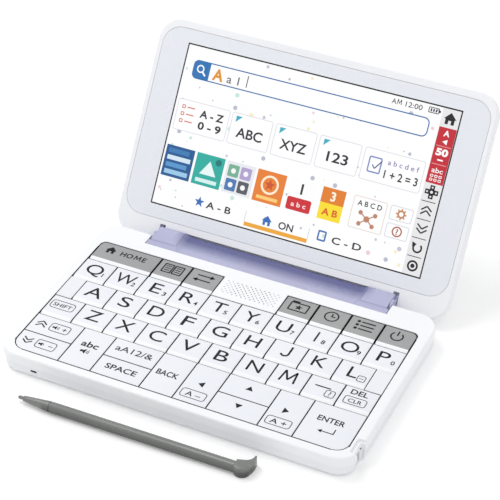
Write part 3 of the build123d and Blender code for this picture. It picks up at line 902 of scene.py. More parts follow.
class Palette:
    """Every finish on the object; some of them carry painted shade, as their comments say."""

    # Bezel with painted shade: a dark box in the key pocket below the keytops, and thin dark lines along the left,
    # right and front edges of the key field, where the gaps between keys lie in shade. The first patch lays a
    # near-white place over the dark box at each side of the field.
    SHELL = PatchedPlastic(
        "bezel_plastic", (249, 250, 252), (244, 246, 249), 0.4,
        patches=(
            Patch((67.6, -0.08, 9.6), (3.38, 6.4, 0.45), (240, 242, 247)),
            Patch((0.0, -4.45, 7.9), (71.3, 37.6, 1.8), (58, 60, 65)),
            Patch((71.13, -4.45, 10.0), (0.16, 33.5, 0.5), (70, 72, 77)),
            Patch((0.0, -41.96, 10.0), (65.6, 0.21, 0.5), (62, 64, 69)),
        ),
    )
    # Case with painted shade: the one patch paints the inside of the strap slot nearly black, as the slot lies in
    # shade.
    CASE = PatchedPlastic(
        "case_plastic", (246, 247, 250), (240, 242, 246), 0.44,
        patches=(Patch((-58.8, -44.3, 3.5), (1.6, 0.85, 0.7), (26, 27, 30)),), mirrored=False,
    )
    LID = Plastic("lid_plastic", (247, 248, 251), (241, 243, 247), 0.36)
    RIM = Plastic("lid_rim_plastic", (247, 248, 251), (242, 244, 248), 0.38)
    KEY_BODY = Plastic("key_body_plastic", (250, 251, 253), (246, 248, 251), 0.45)
    # Painted shade on the keytops' upright sides: the gaps between keys lie in shade, so the sides are painted dark.
    KEY_SIDE = Plastic("key_side_plastic", (66, 68, 73), (56, 58, 63), 0.6)
    FUNCTION_SIDE = Plastic("function_key_side", (38, 39, 42), (30, 31, 34), 0.6)
    LETTER_TOP = Plastic("letter_key_paint", (240, 242, 247), (235, 238, 244), 0.5)
    FUNCTION_TOP = Plastic("function_key_paint", (166, 167, 167), (158, 159, 160), 0.5)
    # Hinge plastic with painted shade: in the middle of the block the lavender darkens towards the rear, where the
    # trough lies in shade under the lid's chin.
    LAVENDER = GradedPlastic(
        "hinge_plastic", (184, 185, 214), (176, 177, 208), 0.24, bump=0.03,
        far=(98, 101, 148), axis=1, start=43.0, end=49.5, half_width=42.5, blend=3.0,
    )
    ARM_PAINT = Plastic("hinge_arm_paint", (186, 187, 217), (176, 177, 209), 0.3)
    # Stylus plastic with painted shade: the grey darkens towards the underside along the shaft.
    PEN = GradedPlastic(
        "stylus_plastic", (118, 121, 118), (108, 111, 108), 0.25, 0.08, 3000.0, 0.12,
        specular=0.8, far=(44, 46, 44), axis=2, start=4.35, end=1.8, half_width=46.5, blend=1.0,
    )
    PANEL = PrintedFilm("panel_print", (194, 200, 209), (236, 240, 247))
    SCREW = Metal("screw_steel", (120, 121, 124), (86, 87, 90))
    FOIL = Foil("cell_foil", (196, 198, 202), (168, 170, 175), 0.3)
    CAN = Metal("speaker_can", (70, 71, 74), (52, 53, 56), 0.45)
    BOARD = CircuitBoard("circuit_board")
    DOMES = Rubber("dome_rubber", (58, 60, 64), (76, 78, 82))
    FEET = Rubber("foot_rubber", (150, 151, 153), (172, 173, 175))
    LEGEND = Ink("legend_ink", (22, 23, 26), (33, 34, 38))
    SMALL_LEGEND = Ink("small_legend_ink", (34, 35, 39), (46, 48, 52))
    # Painted shade: flat grey discs stand in for the shaded hollows of the grille's blind dimples.
    DIMPLE = Ink("dimple_shade", (196, 198, 203), (212, 214, 218))


# --------------------------------------------------------------------------------------
# Flat art
# --------------------------------------------------------------------------------------


@dataclass(frozen=True)
class Page:
    """A flat place on the object that art is laid on."""

    origin: Place
    turn: float = 0.0

    def matrix(self, lift: float) -> Matrix:
        """Lead from page millimetres to the frame's metres.

        Args:
            lift: How far above the page's own surface the art lies, in millimetres.

        Returns:
            The matrix that places art drawn round the page's origin.
        """
        tilt = Matrix.Rotation(math.radians(self.turn), 4, "X")
        return Matrix.Scale(MM, 4) @ Matrix.Translation(self.origin) @ tilt @ Matrix.Translation((0, 0, lift))


@dataclass
class FlatArt:
    """Flat shapes drawn in millimetres on one page and joined into one thin piece."""

    name: str
    shapes: list[bpy.types.Object] = field(default_factory=list)

    def _keep(self, centre: Point, turn: float = 0.0) -> bpy.types.Object:
        """Move the active shape to its place and put it with the others.

        Args:
            centre: Where its origin goes.
            turn: How far it is turned on the page, in degrees.

        Returns:
            The shape.
        """
        shape = bpy.context.active_object
        shape.location = (centre[0], centre[1], 0.0)
        shape.rotation_euler = (0.0, 0.0, math.radians(turn))
        bpy.ops.object.transform_apply(location=True, rotation=True, scale=True)
        self.shapes.append(shape)
        return shape

    @staticmethod
    def _shift(shape: bpy.types.Object, centre: Point) -> bpy.types.Object:
        """Move a kept shape that was drawn round the page's origin.

        Args:
            shape: The shape.
            centre: Where its origin goes.

        Returns:
            The shape.
        """
        shape.data.transform(Matrix.Translation((centre[0], centre[1], 0.0)))
        return shape

    @staticmethod
    def _hollow(shape: bpy.types.Object, line: float) -> None:
        """Leave only a line along a shape's outline.

        Args:
            shape: The filled shape.
            line: The line's width.
        """
        with Bench.editing(shape, Pick.FACE):
            bpy.ops.mesh.select_all(action="SELECT")
            bpy.ops.mesh.inset(thickness=line, use_even_offset=True)
            bpy.ops.mesh.delete(type="FACE")

    def bar(self, centre: Point, size: Point, turn: float = 0.0) -> bpy.types.Object:
        """Draw a filled rectangle.

        Args:
            centre: Its middle.
            size: Its width and height.
            turn: How far it is turned, in degrees.

        Returns:
            The shape.
        """
        Bench.clear()
        bpy.ops.mesh.primitive_plane_add(size=1.0)
        bpy.context.active_object.scale = (size[0], size[1], 1.0)
        return self._keep(centre, turn)

    def line(self, start: Point, end: Point, width: float) -> bpy.types.Object:
        """Draw a straight stroke between two points.

        Args:
            start: One end.
            end: The other end.
            width: The stroke's width.

        Returns:
            The shape.
        """
        run = Vector((end[0] - start[0], end[1] - start[1]))
        middle = ((start[0] + end[0]) / 2, (start[1] + end[1]) / 2)
        return self.bar(middle, (run.length, width), math.degrees(math.atan2(run.y, run.x)))

    def card(self, centre: Point, size: Point, radius: float, line: float = 0.0) -> bpy.types.Object:
        """Draw a rectangle with rounded corners, filled or as an outline.

        Args:
            centre: Its middle.
            size: Its width and height.
            radius: The corners' radius.
            line: The outline's width, or 0 for a filled card.

        Returns:
            The shape.
        """
        shape = self.bar(centre, size)
        with Bench.editing(shape, Pick.VERTEX):
            bpy.ops.mesh.select_all(action="SELECT")
            bpy.ops.mesh.bevel(offset=radius, segments=5, affect="VERTICES")
        if line:
            self._hollow(shape, line)
        return shape

    def disc(self, centre: Point, radius: float, line: float = 0.0, sides: int = 28) -> bpy.types.Object:
        """Draw a circle, filled or as a ring.

        Args:
            centre: Its middle.
            radius: Its outer radius.
            line: The ring's width, or 0 for a filled disc.
            sides: How many sides approximate the round.

        Returns:
            The shape.
        """
        Bench.clear()
        bpy.ops.mesh.primitive_circle_add(vertices=sides, radius=radius, fill_type="NGON")
        shape = self._keep((0.0, 0.0))
        if line:
            self._hollow(shape, line)
        return self._shift(shape, centre)

    def arc(self, centre: Point, radius: float, line: float, start: float, sweep: float) -> bpy.types.Object:
        """Draw part of a ring.

        Args:
            centre: The ring's middle.
            radius: Its outer radius.
            line: The ring's width.
            start: Where the part begins, in degrees from the right, turning left.
            sweep: How far it runs, in degrees.

        Returns:
            The shape.
        """
        shape = self.disc((0.0, 0.0), radius, line, 36)

        def outside(place: Vector, _: Vector) -> bool:
            """Say whether a point lies beyond the part that stays."""
            angle = math.degrees(math.atan2(place.y, place.x))
            return (angle - start) % 360.0 > sweep + 0.5

        Bench.pick(shape, Pick.VERTEX, outside)
        with Bench.editing(shape, Pick.VERTEX):
            bpy.ops.mesh.delete(type="VERT")
        return self._shift(shape, centre)

    def wedge(self, centre: Point, size: Point, turn: float = 0.0) -> bpy.types.Object:
        """Draw a filled triangle that points up before it is turned.

        Args:
            centre: The middle of its box.
            size: The box's width and height before the turn.
            turn: How far it is turned, in degrees.

        Returns:
            The shape.
        """
        Bench.clear()
        bpy.ops.mesh.primitive_circle_add(vertices=3, radius=1.0, fill_type="NGON")
        shape = bpy.context.active_object
        shape.data.transform(Matrix.Translation((0.0, -0.25, 0.0)))
        shape.scale = (size[0] / math.sqrt(3.0), size[1] / 1.5, 1.0)
        return self._keep(centre, turn)

    def star(self, centre: Point, radius: float, waist: float = 0.42) -> bpy.types.Object:
        """Draw a five-pointed star.

        Args:
            centre: Its middle.
            radius: How far its points reach.
            waist: The inner corners' share of the radius.

        Returns:
            The shape.
        """
        shape = self.disc((0.0, 0.0), radius, sides=10)
        Bench.pick(shape, Pick.VERTEX, lambda place, _: False)
        for corner in list(shape.data.vertices)[1::2]:
            corner.select = True
        with Bench.editing(shape, Pick.VERTEX):
            bpy.ops.transform.resize(value=(waist, waist, 1.0), center_override=(0.0, 0.0, 0.0))
        return self._shift(shape, centre)

    def letters(
        self, text: str, centre: Point, height: float, width: float = 0.0, weight: float = 0.0
    ) -> bpy.types.Object:
        """Set a line of plain lettering.

        Args:
            text: The characters.
            centre: The middle of the line of capitals.
            height: The height of a capital.
            width: The line's whole width, or 0 for the face's own.
            weight: How much the strokes are thickened, as a share of the height.

        Returns:
            The shape.
        """
        Bench.clear()
        bpy.ops.object.text_add()
        drawn = bpy.context.active_object
        drawn.data.body = text
        drawn.data.align_x = "CENTER"
        drawn.data.resolution_u = 4
        drawn.data.offset = weight
        bpy.ops.object.convert(target="MESH")
        shape = bpy.context.active_object
        left = min(vertex.co.x for vertex in shape.data.vertices)
        right = max(vertex.co.x for vertex in shape.data.vertices)
        scale = height / CAPITAL
        across = width / (right - left) if width else scale
        shape.data.transform(Matrix.Translation((-(left + right) / 2, -CAPITAL / 2, 0.0)))
        shape.scale = (across, scale, 1.0)
        return self._keep(centre)

    def house(self, centre: Point, size: float) -> None:
        """Draw a small house with a door.

        Args:
            centre: The middle of its box.
            size: The box's width.
        """
        x, y = centre
        self.wedge((x, y + 0.22 * size), (size, 0.5 * size))
        for side in (-1, 1):
            self.bar((x + side * 0.235 * size, y - 0.22 * size), (0.25 * size, 0.42 * size))
        self.bar((x, y - 0.06 * size), (0.3 * size, 0.16 * size))

    def speaker(self, centre: Point, size: float, waves: int) -> None:
        """Draw a small loudspeaker with sound waves.

        Args:
            centre: The middle of the cone.
            size: The cone's height.
            waves: How many waves leave it.
        """
        x, y = centre
        self.bar((x - 0.45 * size, y), (0.3 * size, 0.42 * size))
        self.wedge((x - 0.12 * size, y), (size, 0.6 * size), 90.0)
        for wave in range(waves):
            self.arc((x + 0.05 * size, y), (0.42 + 0.24 * wave) * size, 0.1 * size, -45.0, 90.0)

    def capital_m(self, centre: Point, size: Point, line: float) -> None:
        """Draw a capital M from four strokes, because the typeface's own clogs when it is small.

        Args:
            centre: Its middle.
            size: Its width and height.
            line: The strokes' width.
        """
        half, tall = (size[0] - line) / 2, size[1] / 2
        corners = ((-half, -tall), (-0.78 * half, tall), (0.0, -0.58 * tall), (0.78 * half, tall), (half, -tall))
        places = [(centre[0] + x, centre[1] + y) for x, y in corners]
        for start, end in zip(places, places[1:]):
            self.line(start, end, line)

    def chevrons(self, centre: Point, size: float, down: bool) -> None:
        """Draw two chevrons over each other.

        Args:
            centre: The middle of the pair.
            size: Their width.
            down: True if they point down.
        """
        x, y = centre
        side = -1.0 if down else 1.0
        for step in (-0.2, 0.2):
            tip = (x, y + (step + 0.2 * side) * size)
            for edge in (-0.5, 0.5):
                self.line((x + edge * size, y + (step - 0.2 * side) * size), tip, 0.14 * size)

    def boxed(
        self, text: str, centre: Point, size: Point, height: float, width: float = 0.0, weight: float = 0.01
    ) -> None:
        """Set lettering inside a thin rounded box.

        Args:
            text: The characters.
            centre: The box's middle.
            size: The box's width and height.
            height: The height of a capital.
            width: The line's whole width, or 0 for the face's own.
            weight: How much the strokes are thickened, as a share of the height.
        """
        self.card(centre, size, 0.28 * min(size), 0.32)
        self.letters(text, centre, height, width, weight)

    def lay(self, page: Page, lift: float, finish: Finish, body: str, slot: str = "") -> Optional[bpy.types.Object]:
        """Join the shapes, put them on their page and hand the piece over.

        Args:
            page: The page they are laid on.
            lift: How far above the page they lie, in millimetres.
            finish: Their finish.
            body: The body they move with.
            slot: Not used.

        Returns:
            The piece, or None if nothing was drawn.
        """
        if not self.shapes:
            return None
        Bench.take(self.shapes[0])
        for shape in self.shapes:
            shape.select_set(True)
        if len(self.shapes) > 1:
            bpy.ops.object.join()
        piece = bpy.context.active_object
        piece.name = self.name
        piece.data.name = self.name
        piece.data.transform(page.matrix(lift))
        piece.data.materials.clear()
        piece.data.materials.append(finish.material())
        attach(piece, body)
        LOG.info("art %s on %s, %d faces", self.name, body, len(piece.data.polygons))
        return piece


# --------------------------------------------------------------------------------------
# Sub-assemblies
# --------------------------------------------------------------------------------------


@dataclass
class Assembly:
    """A sub-assembly of the object, with the frame that it is dressed in."""

    frame: dict

    def dress(self, node: str, finish: Finish) -> None:
        """Give one solid of the frame its finish.

        Args:
            node: The solid's name.
            finish: Its finish.
        """
        solid = self.frame["nodes"][node]
        if not solid.material_slots:
            solid.data.materials.append(None)
        for place in solid.material_slots:
            place.material = finish.material()
        LOG.info("dressed %s in %s", node, finish.name)


@dataclass
class Casing(Assembly):
    """The base's two halves, with its screws, its feet and the grille's blind dimples."""

    screw_places: tuple[Point, ...] = ((-64.5, 30.0), (64.5, 30.0), (-64.5, -29.0), (64.5, -29.0), (0.0, -29.0))
    screw_radius: float = 1.65
    screw_top: float = 0.12
    screw_seat: float = 0.6
    screw_chamfer: float = 0.22
    recess: Place = (0.42, 1.9, 0.5)
    recess_turns: Point = (20.0, 110.0)
    foot_places: tuple[Point, ...] = ((-50.0, -37.0), (50.0, -37.0), (-50.0, 31.0), (50.0, 31.0))
    foot_radius: float = 3.6
    foot_proud: float = 0.05
    foot_depth: float = 0.5
    foot_rim: float = 0.5
    foot_step: float = 0.25
    foot_dish: float = 0.03
    dimple_radius: float = 0.36
    dimple_lift: float = 0.01
    grille_middle: float = 27.5
    grille_pitch: float = 2.02
    grille_row_pitch: float = 1.07
    grille_rows: int = 8
    open_columns: int = 8
    all_columns: int = 12
    deck: float = 10.0

    def build(self) -> None:
        """Dress the housings and add what lies on them."""
        self.dress("keyboard_bezel", Palette.SHELL)
        self.dress("bottom_case", Palette.CASE)
        self.spread(self.screw(), "case_screw", self.screw_places)
        self.spread(self.foot(), "case_foot", self.foot_places)
        self.dimples()

    def spread(self, mould: bpy.types.Object, name: str, places: Sequence[Point]) -> None:
        """Put a copy of one modelled piece at each of its places under the base.

        Args:
            mould: The piece, modelled round the origin.
            name: What the copies are called.
            places: Where they go.
        """
        for index, place in enumerate(places):
            twin = Bench.repeat(mould.data, f"{name}_{index + 1}", Vector((place[0], place[1], 0.0)) * MM)
            Bench.deliver(twin, "base")
        bpy.data.objects.remove(mould)

    def screw(self) -> bpy.types.Object:
        """Make a countersunk screw head with a cross recess, facing down.

        Returns:
            The screw, modelled round the origin.
        """
        middle = Vector((0.0, 0.0, (self.screw_top + self.screw_seat) / 2)) * MM
        head = Bench.drum("screw", middle, self.screw_radius * MM, (self.screw_seat - self.screw_top) * MM, 28)
        Bench.pick(head, Pick.FACE, faces_down)
        with Bench.editing(head, Pick.FACE):
            bpy.ops.mesh.bevel(offset=self.screw_chamfer * MM, segments=3, affect="EDGES")
        for turn in self.recess_turns:
            size = Vector(self.recess) * MM
            cutter = Bench.block("cutter", -size / 2, size / 2)
            lowered = Matrix.Translation(Vector((0.0, 0.0, self.screw_top)) * MM)
            cutter.data.transform(lowered @ Matrix.Rotation(math.radians(turn), 4, "Z"))
            cut = head.modifiers.new("recess", "BOOLEAN")
            cut.operation = "DIFFERENCE"
            cut.object = cutter
            Bench.take(head)
            bpy.ops.object.modifier_apply(modifier=cut.name)
            bpy.data.objects.remove(cutter)
        Bench.smooth(head)
        head.data.materials.append(Palette.SCREW.material())
        return head

    def foot(self) -> bpy.types.Object:
        """Make a soft pad with a rounded rim.

        Returns:
            The pad, modelled round the origin.
        """
        middle = Vector((0.0, 0.0, self.foot_depth / 2 - self.foot_proud)) * MM
        pad = Bench.drum("pad", middle, self.foot_radius * MM, self.foot_depth * MM)
        Bench.pick(pad, Pick.FACE, faces_down)
        with Bench.editing(pad, Pick.FACE):
            bpy.ops.mesh.inset(thickness=self.foot_rim * MM)
            bpy.ops.mesh.inset(thickness=self.foot_step * MM)
            bpy.ops.transform.translate(value=(0.0, 0.0, self.foot_dish * MM))
        Bench.smooth(pad, 20.0)
        pad.data.materials.append(Palette.FEET.material())
        return pad

    def dimples(self) -> None:
        """Draw the blind dimples either side of the open sound holes as grey discs of painted shade."""
        art = FlatArt("grille_dimples")
        edge = (self.all_columns - 1) / 2
        for row in range(self.grille_rows):
            shift = self.grille_pitch / 4 - self.grille_pitch / 2 * (row % 2)
            y = self.grille_middle + (row - (self.grille_rows - 1) / 2) * self.grille_row_pitch
            for column in range(self.all_columns):
                away = column - edge
                if abs(away) > self.open_columns / 2:
                    art.disc((away * self.grille_pitch + shift, y), self.dimple_radius, sides=10)
        art.lay(Page((0.0, 0.0, self.deck)), self.dimple_lift, Palette.DIMPLE, "base")


@dataclass
class Internals(Assembly):
    """What the housings hide: board, cell, speaker and the dome sheet."""

    def build(self) -> None:
        """Dress the hidden parts."""
        self.dress("main_board", Palette.BOARD)
        self.dress("battery_pack", Palette.FOIL)
        self.dress("speaker", Palette.CAN)
        self.dress("key_sheet", Palette.DOMES)


@dataclass(frozen=True)
class Mark:
    """One shape of a legend, placed from its key's middle: its ink, how it is drawn, and what that takes."""

    light: bool
    draw: Callable[..., object]
    sizes: tuple


def bold(draw: Callable[..., object], *sizes: object) -> Mark:
    """Describe a shape in the strong ink."""
    return Mark(False, draw, sizes)


def fine(draw: Callable[..., object], *sizes: object) -> Mark:
    """Describe a shape in the light ink."""
    return Mark(True, draw, sizes)


LETTER_MIDDLE = (-0.35, 1.15)
LETTER_HEIGHT = 6.5
LETTER_WEIGHT = 0.002
LEGENDS: dict[str, tuple[Mark, ...]] = {
    "j": (
        bold(FlatArt.bar, (1.15, 2.15), (0.86, 4.5)),
        bold(FlatArt.arc, (-0.42, -0.1), 2.0, 0.86, 195.0, 165.0),
    ),
    "l": (
        bold(FlatArt.letters, "L", LETTER_MIDDLE, LETTER_HEIGHT, 4.0, LETTER_WEIGHT),
        fine(FlatArt.card, (3.8, -1.4), (3.5, 3.5), 0.8, 0.32),
        fine(FlatArt.bar, (3.8, -1.4), (1.7, 0.3)),
    ),
    "m": (bold(FlatArt.capital_m, LETTER_MIDDLE, (6.8, LETTER_HEIGHT), 0.82),),
    "home": (
        bold(FlatArt.house, (-7.9, 2.1), 4.8),
        bold(FlatArt.letters, "HO", (-0.35, 1.9), 2.9, 5.6, 0.02),
        bold(FlatArt.capital_m, (4.65, 1.9), (3.1, 2.9), 0.46),
        bold(FlatArt.letters, "E", (7.7, 1.9), 2.9, 1.7, 0.02),
    ),
    "words": tuple(
        mark
        for across in (-2.35, 2.35)
        for mark in (
            bold(FlatArt.card, (across, 1.5), (4.5, 5.8), 0.5, 0.6),
            *(bold(FlatArt.bar, (across, level), (2.5, 0.5)) for level in (0.3, 1.6, 2.9)),
        )
    ),
    "phrases": tuple(
        mark
        for side, level in ((-1, 0.1), (1, 3.1))
        for mark in (
            bold(FlatArt.line, (-3.4, level), (3.4, level), 0.65),
            bold(FlatArt.wedge, (side * 3.4, level), (2.4, 2.0), -90.0 * side),
        )
    ),
    "folder": (
        bold(FlatArt.card, (0.0, 1.2), (8.4, 5.4), 0.6, 0.62),
        bold(FlatArt.bar, (-2.2, 4.3), (3.2, 0.9)),
        bold(FlatArt.star, (0.0, 1.1), 1.75),
    ),
    "history": (
        bold(FlatArt.disc, (0.0, 1.6), 3.1, 0.6),
        bold(FlatArt.bar, (0.0, 2.4), (0.55, 1.9)),
        bold(FlatArt.bar, (0.7, 1.6), (1.7, 0.55)),
    ),
    "list": tuple(
        mark
        for level in (-0.6, 1.6, 3.8)
        for mark in (bold(FlatArt.card, (-3.2, level), (1.3, 1.3), 0.3), bold(FlatArt.bar, (1.0, level), (5.8, 0.7)))
    ),
    "power": (
        bold(FlatArt.arc, (-0.4, 1.4), 2.75, 0.62, 125.0, 290.0),
        bold(FlatArt.bar, (-0.4, 3.2), (0.62, 2.8)),
    ),
    "shift": (fine(FlatArt.boxed, "SHIFT", (-0.6, 1.2), (10.6, 5.0), 2.2, 8.2),),
    "delete": (
        fine(FlatArt.letters, "DEL", (-0.5, 3.9), 2.8, 7.0, 0.018),
        fine(FlatArt.boxed, "CLR", (-0.5, -1.1), (9.2, 4.5), 2.1, 5.6),
    ),
    "dash": (
        bold(FlatArt.bar, (-0.4, 1.4), (6.5, 0.62)),
        fine(FlatArt.boxed, "?", (3.5, -1.4), (4.1, 4.2), 2.9, 0.0, 0.0),
    ),
    "page_up": (
        fine(FlatArt.chevrons, (-6.0, 0.2), 4.2, False),
        fine(FlatArt.card, (2.1, 0.3), (8.8, 5.0), 1.3, 0.34),
        bold(FlatArt.speaker, (0.2, 0.3), 2.3, 2),
        bold(FlatArt.bar, (4.2, 0.3), (1.9, 0.36)),
        bold(FlatArt.bar, (4.2, 0.3), (0.36, 1.9)),
    ),
    "page_down": (
        fine(FlatArt.chevrons, (-6.0, 0.2), 4.2, True),
        fine(FlatArt.card, (2.1, 0.3), (8.8, 5.0), 1.3, 0.34),
        bold(FlatArt.speaker, (0.2, 0.3), 2.3, 1),
        bold(FlatArt.bar, (4.2, 0.3), (1.9, 0.36)),
    ),
    "voice": (
        fine(FlatArt.letters, "abc", (0.0, 2.6), 3.4, 7.4, 0.02),
        bold(FlatArt.speaker, (-0.4, -1.8), 2.9, 2),
    ),
    "symbol": (fine(FlatArt.letters, "aA12/&", (0.0, 0.5), 3.3, 16.0, 0.006),),
    "space": (fine(FlatArt.letters, "SPACE", (0.0, 0.4), 2.9, 13.4, 0.018),),
    "back": (fine(FlatArt.letters, "BACK", (-0.4, 0.3), 3.0, 9.2, 0.018),),
    "left": (
        bold(FlatArt.wedge, (-0.3, 0.4), (3.2, 2.4), 90.0),
        fine(FlatArt.boxed, "A –", (-0.4, -6.1), (10.6, 4.8), 2.7, 6.2),
    ),
    "right": (
        bold(FlatArt.wedge, (-0.4, 0.6), (3.2, 2.4), -90.0),
        fine(FlatArt.boxed, "A +", (-0.5, -6.1), (10.4, 4.8), 2.7, 6.6),
    ),
    "up": (bold(FlatArt.wedge, (-0.2, 0.8), (3.1, 2.4)),),
    "down": (bold(FlatArt.wedge, (-0.1, 0.9), (3.1, 2.4), 180.0),),
    "enter": (
        fine(FlatArt.letters, "ENTER", (-0.6, 3.0), 2.9, 11.0, 0.018),
        fine(FlatArt.line, (-2.6, -3.6), (3.0, -3.6), 0.45),
        fine(FlatArt.bar, (2.78, -2.3), (0.45, 2.8)),
        bold(FlatArt.wedge, (-2.7, -3.6), (1.9, 1.6), 90.0),
    ),
}


@dataclass(frozen=True)
class KeyStyle:
    """What keytops of one kind share: the gaps in their pockets, their top paint, the painted shade on their sides,
    their slot and their top's slope.
    """

    side_gap: float
    front_gap: float
    top: Finish = Palette.LETTER_TOP
    # The painted shade on the keytop's upright sides.
    side: Finish = Palette.KEY_SIDE
    slot: str = "letter_key"
    sloped: bool = True


class KeyKind(Enum):
    """The kinds of keytop."""

    LETTER = KeyStyle(0.09, 0.18)
    FUNCTION = KeyStyle(0.23, 0.24, Palette.FUNCTION_TOP, Palette.FUNCTION_SIDE, "function_key")
    LOWER = KeyStyle(0.06, 0.0, sloped=False)


@dataclass
class Keyboard(Assembly):
    """All keytops with their legends."""

    function_keys: tuple[str, ...] = (
        "key_home", "key_words", "key_phrases", "key_folder", "key_history", "key_list", "key_power",
    )
    lower_keys: tuple[str, ...] = (
        "key_page_up", "key_page_down", "key_voice", "key_symbol", "key_space",
        "key_back", "key_left", "key_up", "key_down", "key_right", "key_enter",
    )
    digit_letters: str = "qwertyuiop"
    rounded: dict[str, tuple[int, int, float]] = field(
        default_factory=lambda: {
            "key_home": (-1, 1, 2.45),
            "key_power": (1, 1, 2.45),
            "key_page_down": (-1, -1, 5.45),
            "key_enter": (1, -1, 5.45),
        }
    )
    slope_run: float = 1.9
    slope_drop: float = 0.45
    edge_round: float = 0.2
    edge_reach: float = 0.05
    paint_depth: float = 0.25
    paint_spill: float = 0.02
    steepest_top: float = 0.45
    flat_match: float = 0.6
    smooth_turn: float = 40.0
    corner_strips: int = 10
    wall: float = 1.0
    roof: float = 0.9
    near_digits: str = "tyi"
    near_digit: float = 3.2
    far_digit: float = 4.1
    digit_rise: float = -1.0
    digit_height: float = 2.4
    digit_width: float = 1.6
    digit_weight: float = 0.015
    print_lift: float = 0.03
    moulds: dict[tuple, tuple[bpy.types.Mesh, Vector]] = field(default_factory=dict)
    letter_widths: dict[str, float] = field(
        default_factory=lambda: {
            "q": 7.5, "w": 8.6, "e": 4.7, "r": 5.8, "t": 5.9, "y": 5.9, "u": 6.1, "i": 0.75, "o": 7.4, "p": 4.8,
            "a": 7.5, "s": 5.2, "d": 6.5, "f": 4.8, "g": 6.7, "h": 6.0, "k": 5.6,
            "z": 6.4, "x": 7.0, "c": 6.4, "v": 6.8, "b": 5.4, "n": 6.0,
        }
    )

    def build(self) -> None:
        """Make every keytop and print its legend."""
        for node in sorted(self.frame["nodes"]):
            if node.startswith("key_") and node != "key_sheet":
                self.cap(node)
                self.legend(node)

    def kind(self, node: str) -> KeyKind:
        """Sort a key by its row.

        Args:
            node: The key's name.

        Returns:
            Its kind.
        """
        if node in self.function_keys:
            return KeyKind.FUNCTION
        return KeyKind.LOWER if node in self.lower_keys else KeyKind.LETTER

    def cap(self, node: str) -> bpy.types.Object:
        """Put one keytop in place: a copy of the first of its size, or a new one if there is none yet.

        Args:
            node: The solid that it stands for.

        Returns:
            The finished piece.
        """
        low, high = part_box(node)
        kind = self.kind(node)
        size = (round((high.x - low.x) / MM, 2), round((high.y - low.y) / MM, 2))
        sort = (kind, size, self.rounded.get(node))
        if sort not in self.moulds:
            cap = self.model(kind, low, high, self.rounded.get(node))
            self.moulds[sort] = (cap.data.copy(), low)
            bpy.data.objects.remove(cap)
        mould, place = self.moulds[sort]
        cap = Bench.repeat(mould, node + "_cap", low - place)
        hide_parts(node)
        return Bench.deliver(cap, node, kind.value.slot)

    def model(
        self, kind: KeyKind, low: Vector, high: Vector, corner: Optional[tuple[int, int, float]]
    ) -> bpy.types.Object:
        """Model one keytop: sloped front strip, soft edges and a hollow underside.

        Args:
            kind: The kind of keytop.
            low: The solid's lowest corner.
            high: The solid's highest corner.
            corner: Which upright edge is rounded and how far, or nothing.

        Returns:
            The keytop.
        """
        side, front = kind.value.side_gap * MM, kind.value.front_gap * MM
        low = low + Vector((side, front, 0.0))
        high = high - Vector((side, side, 0.0))
        cap = Bench.block("keytop", low, high)
        if corner is not None:
            self.round_corner(cap, (low + high) / 2, *corner)
        if kind.value.sloped:
            self.slope(cap, low, high)
        near_top = high.z - (self.slope_drop + self.edge_reach) * MM
        Bench.pick(cap, Pick.EDGE, lambda place, run: place.z > near_top and abs(run.z) < 0.5)
        self.keep_flat_edges(cap)
        Bench.bevel(cap, self.edge_round * MM)
        self.hollow(cap, low)
        self.paint(cap, kind.value, low, high)
        Bench.smooth(cap, self.smooth_turn)
        return cap

    def paint(self, cap: bpy.types.Object, style: KeyStyle, low: Vector, high: Vector) -> None:
        """Give the keytop its body, its painted top and painted shade on its sides, which stand in the shaded gaps
        between keys.

        Args:
            cap: The keytop.
            style: What its kind shares.
            low: Its lowest corner.
            high: Its highest corner.
        """
        for finish in (Palette.KEY_BODY, style.top, style.side):
            cap.data.materials.append(finish.material())
        front = low.y + (self.slope_run if style.sloped else -1.0) * MM
        lowest = high.z - self.paint_depth * MM
        for face in cap.data.polygons:
            # Upright faces take the painted shade of the gaps between keys.
            if face.normal.z < self.steepest_top:
                face.material_index = 2
            elif face.center.z > lowest and face.center.y > front - self.paint_spill * MM:
                face.material_index = 1

    def round_corner(self, cap: bpy.types.Object, middle: Vector, side: int, depth: int, radius: float) -> None:
        """Round the one upright edge that lies in a corner of the key field.

        Args:
            cap: The keytop.
            middle: The keytop's middle.
            side: -1 for the left edge, 1 for the right.
            depth: -1 for the front, 1 for the rear.
            radius: The corner's radius, in millimetres.
        """
        Bench.pick(
            cap,
            Pick.EDGE,
            lambda place, run: abs(run.z) > 0.9
            and (place.x - middle.x) * side > 0
            and (place.y - middle.y) * depth > 0,
        )
        Bench.bevel(cap, radius * MM, self.corner_strips)

    def slope(self, cap: bpy.types.Object, low: Vector, high: Vector) -> None:
        """Cut the top across and lower its front edge.

        Args:
            cap: The keytop.
            low: Its lowest corner.
            high: Its highest corner.
        """
        line = low.y + self.slope_run * MM
        with Bench.editing(cap, Pick.VERTEX):
            bpy.ops.mesh.select_all(action="SELECT")
            bpy.ops.mesh.bisect(plane_co=(0.0, line, 0.0), plane_no=(0.0, 1.0, 0.0))
        Bench.pick(cap, Pick.VERTEX, lambda place, _: place.z > high.z - TOUCH and place.y < low.y + TOUCH)
        with Bench.editing(cap, Pick.VERTEX):
            bpy.ops.transform.translate(value=(0.0, 0.0, -self.slope_drop * MM))

    def keep_flat_edges(self, cap: bpy.types.Object) -> None:
        """Drop the edges from the selection that lie inside a flat or nearly flat top.

        Args:
            cap: The keytop.
        """
        sides: dict[tuple[int, int], list[Vector]] = {}
        for face in cap.data.polygons:
            for pair in face.edge_keys:
                sides.setdefault(pair, []).append(face.normal.copy())
        for edge in cap.data.edges:
            normals = sides.get(tuple(sorted(edge.vertices)), [])
            if len(normals) == 2 and normals[0].dot(normals[1]) > self.flat_match:
                edge.select = False

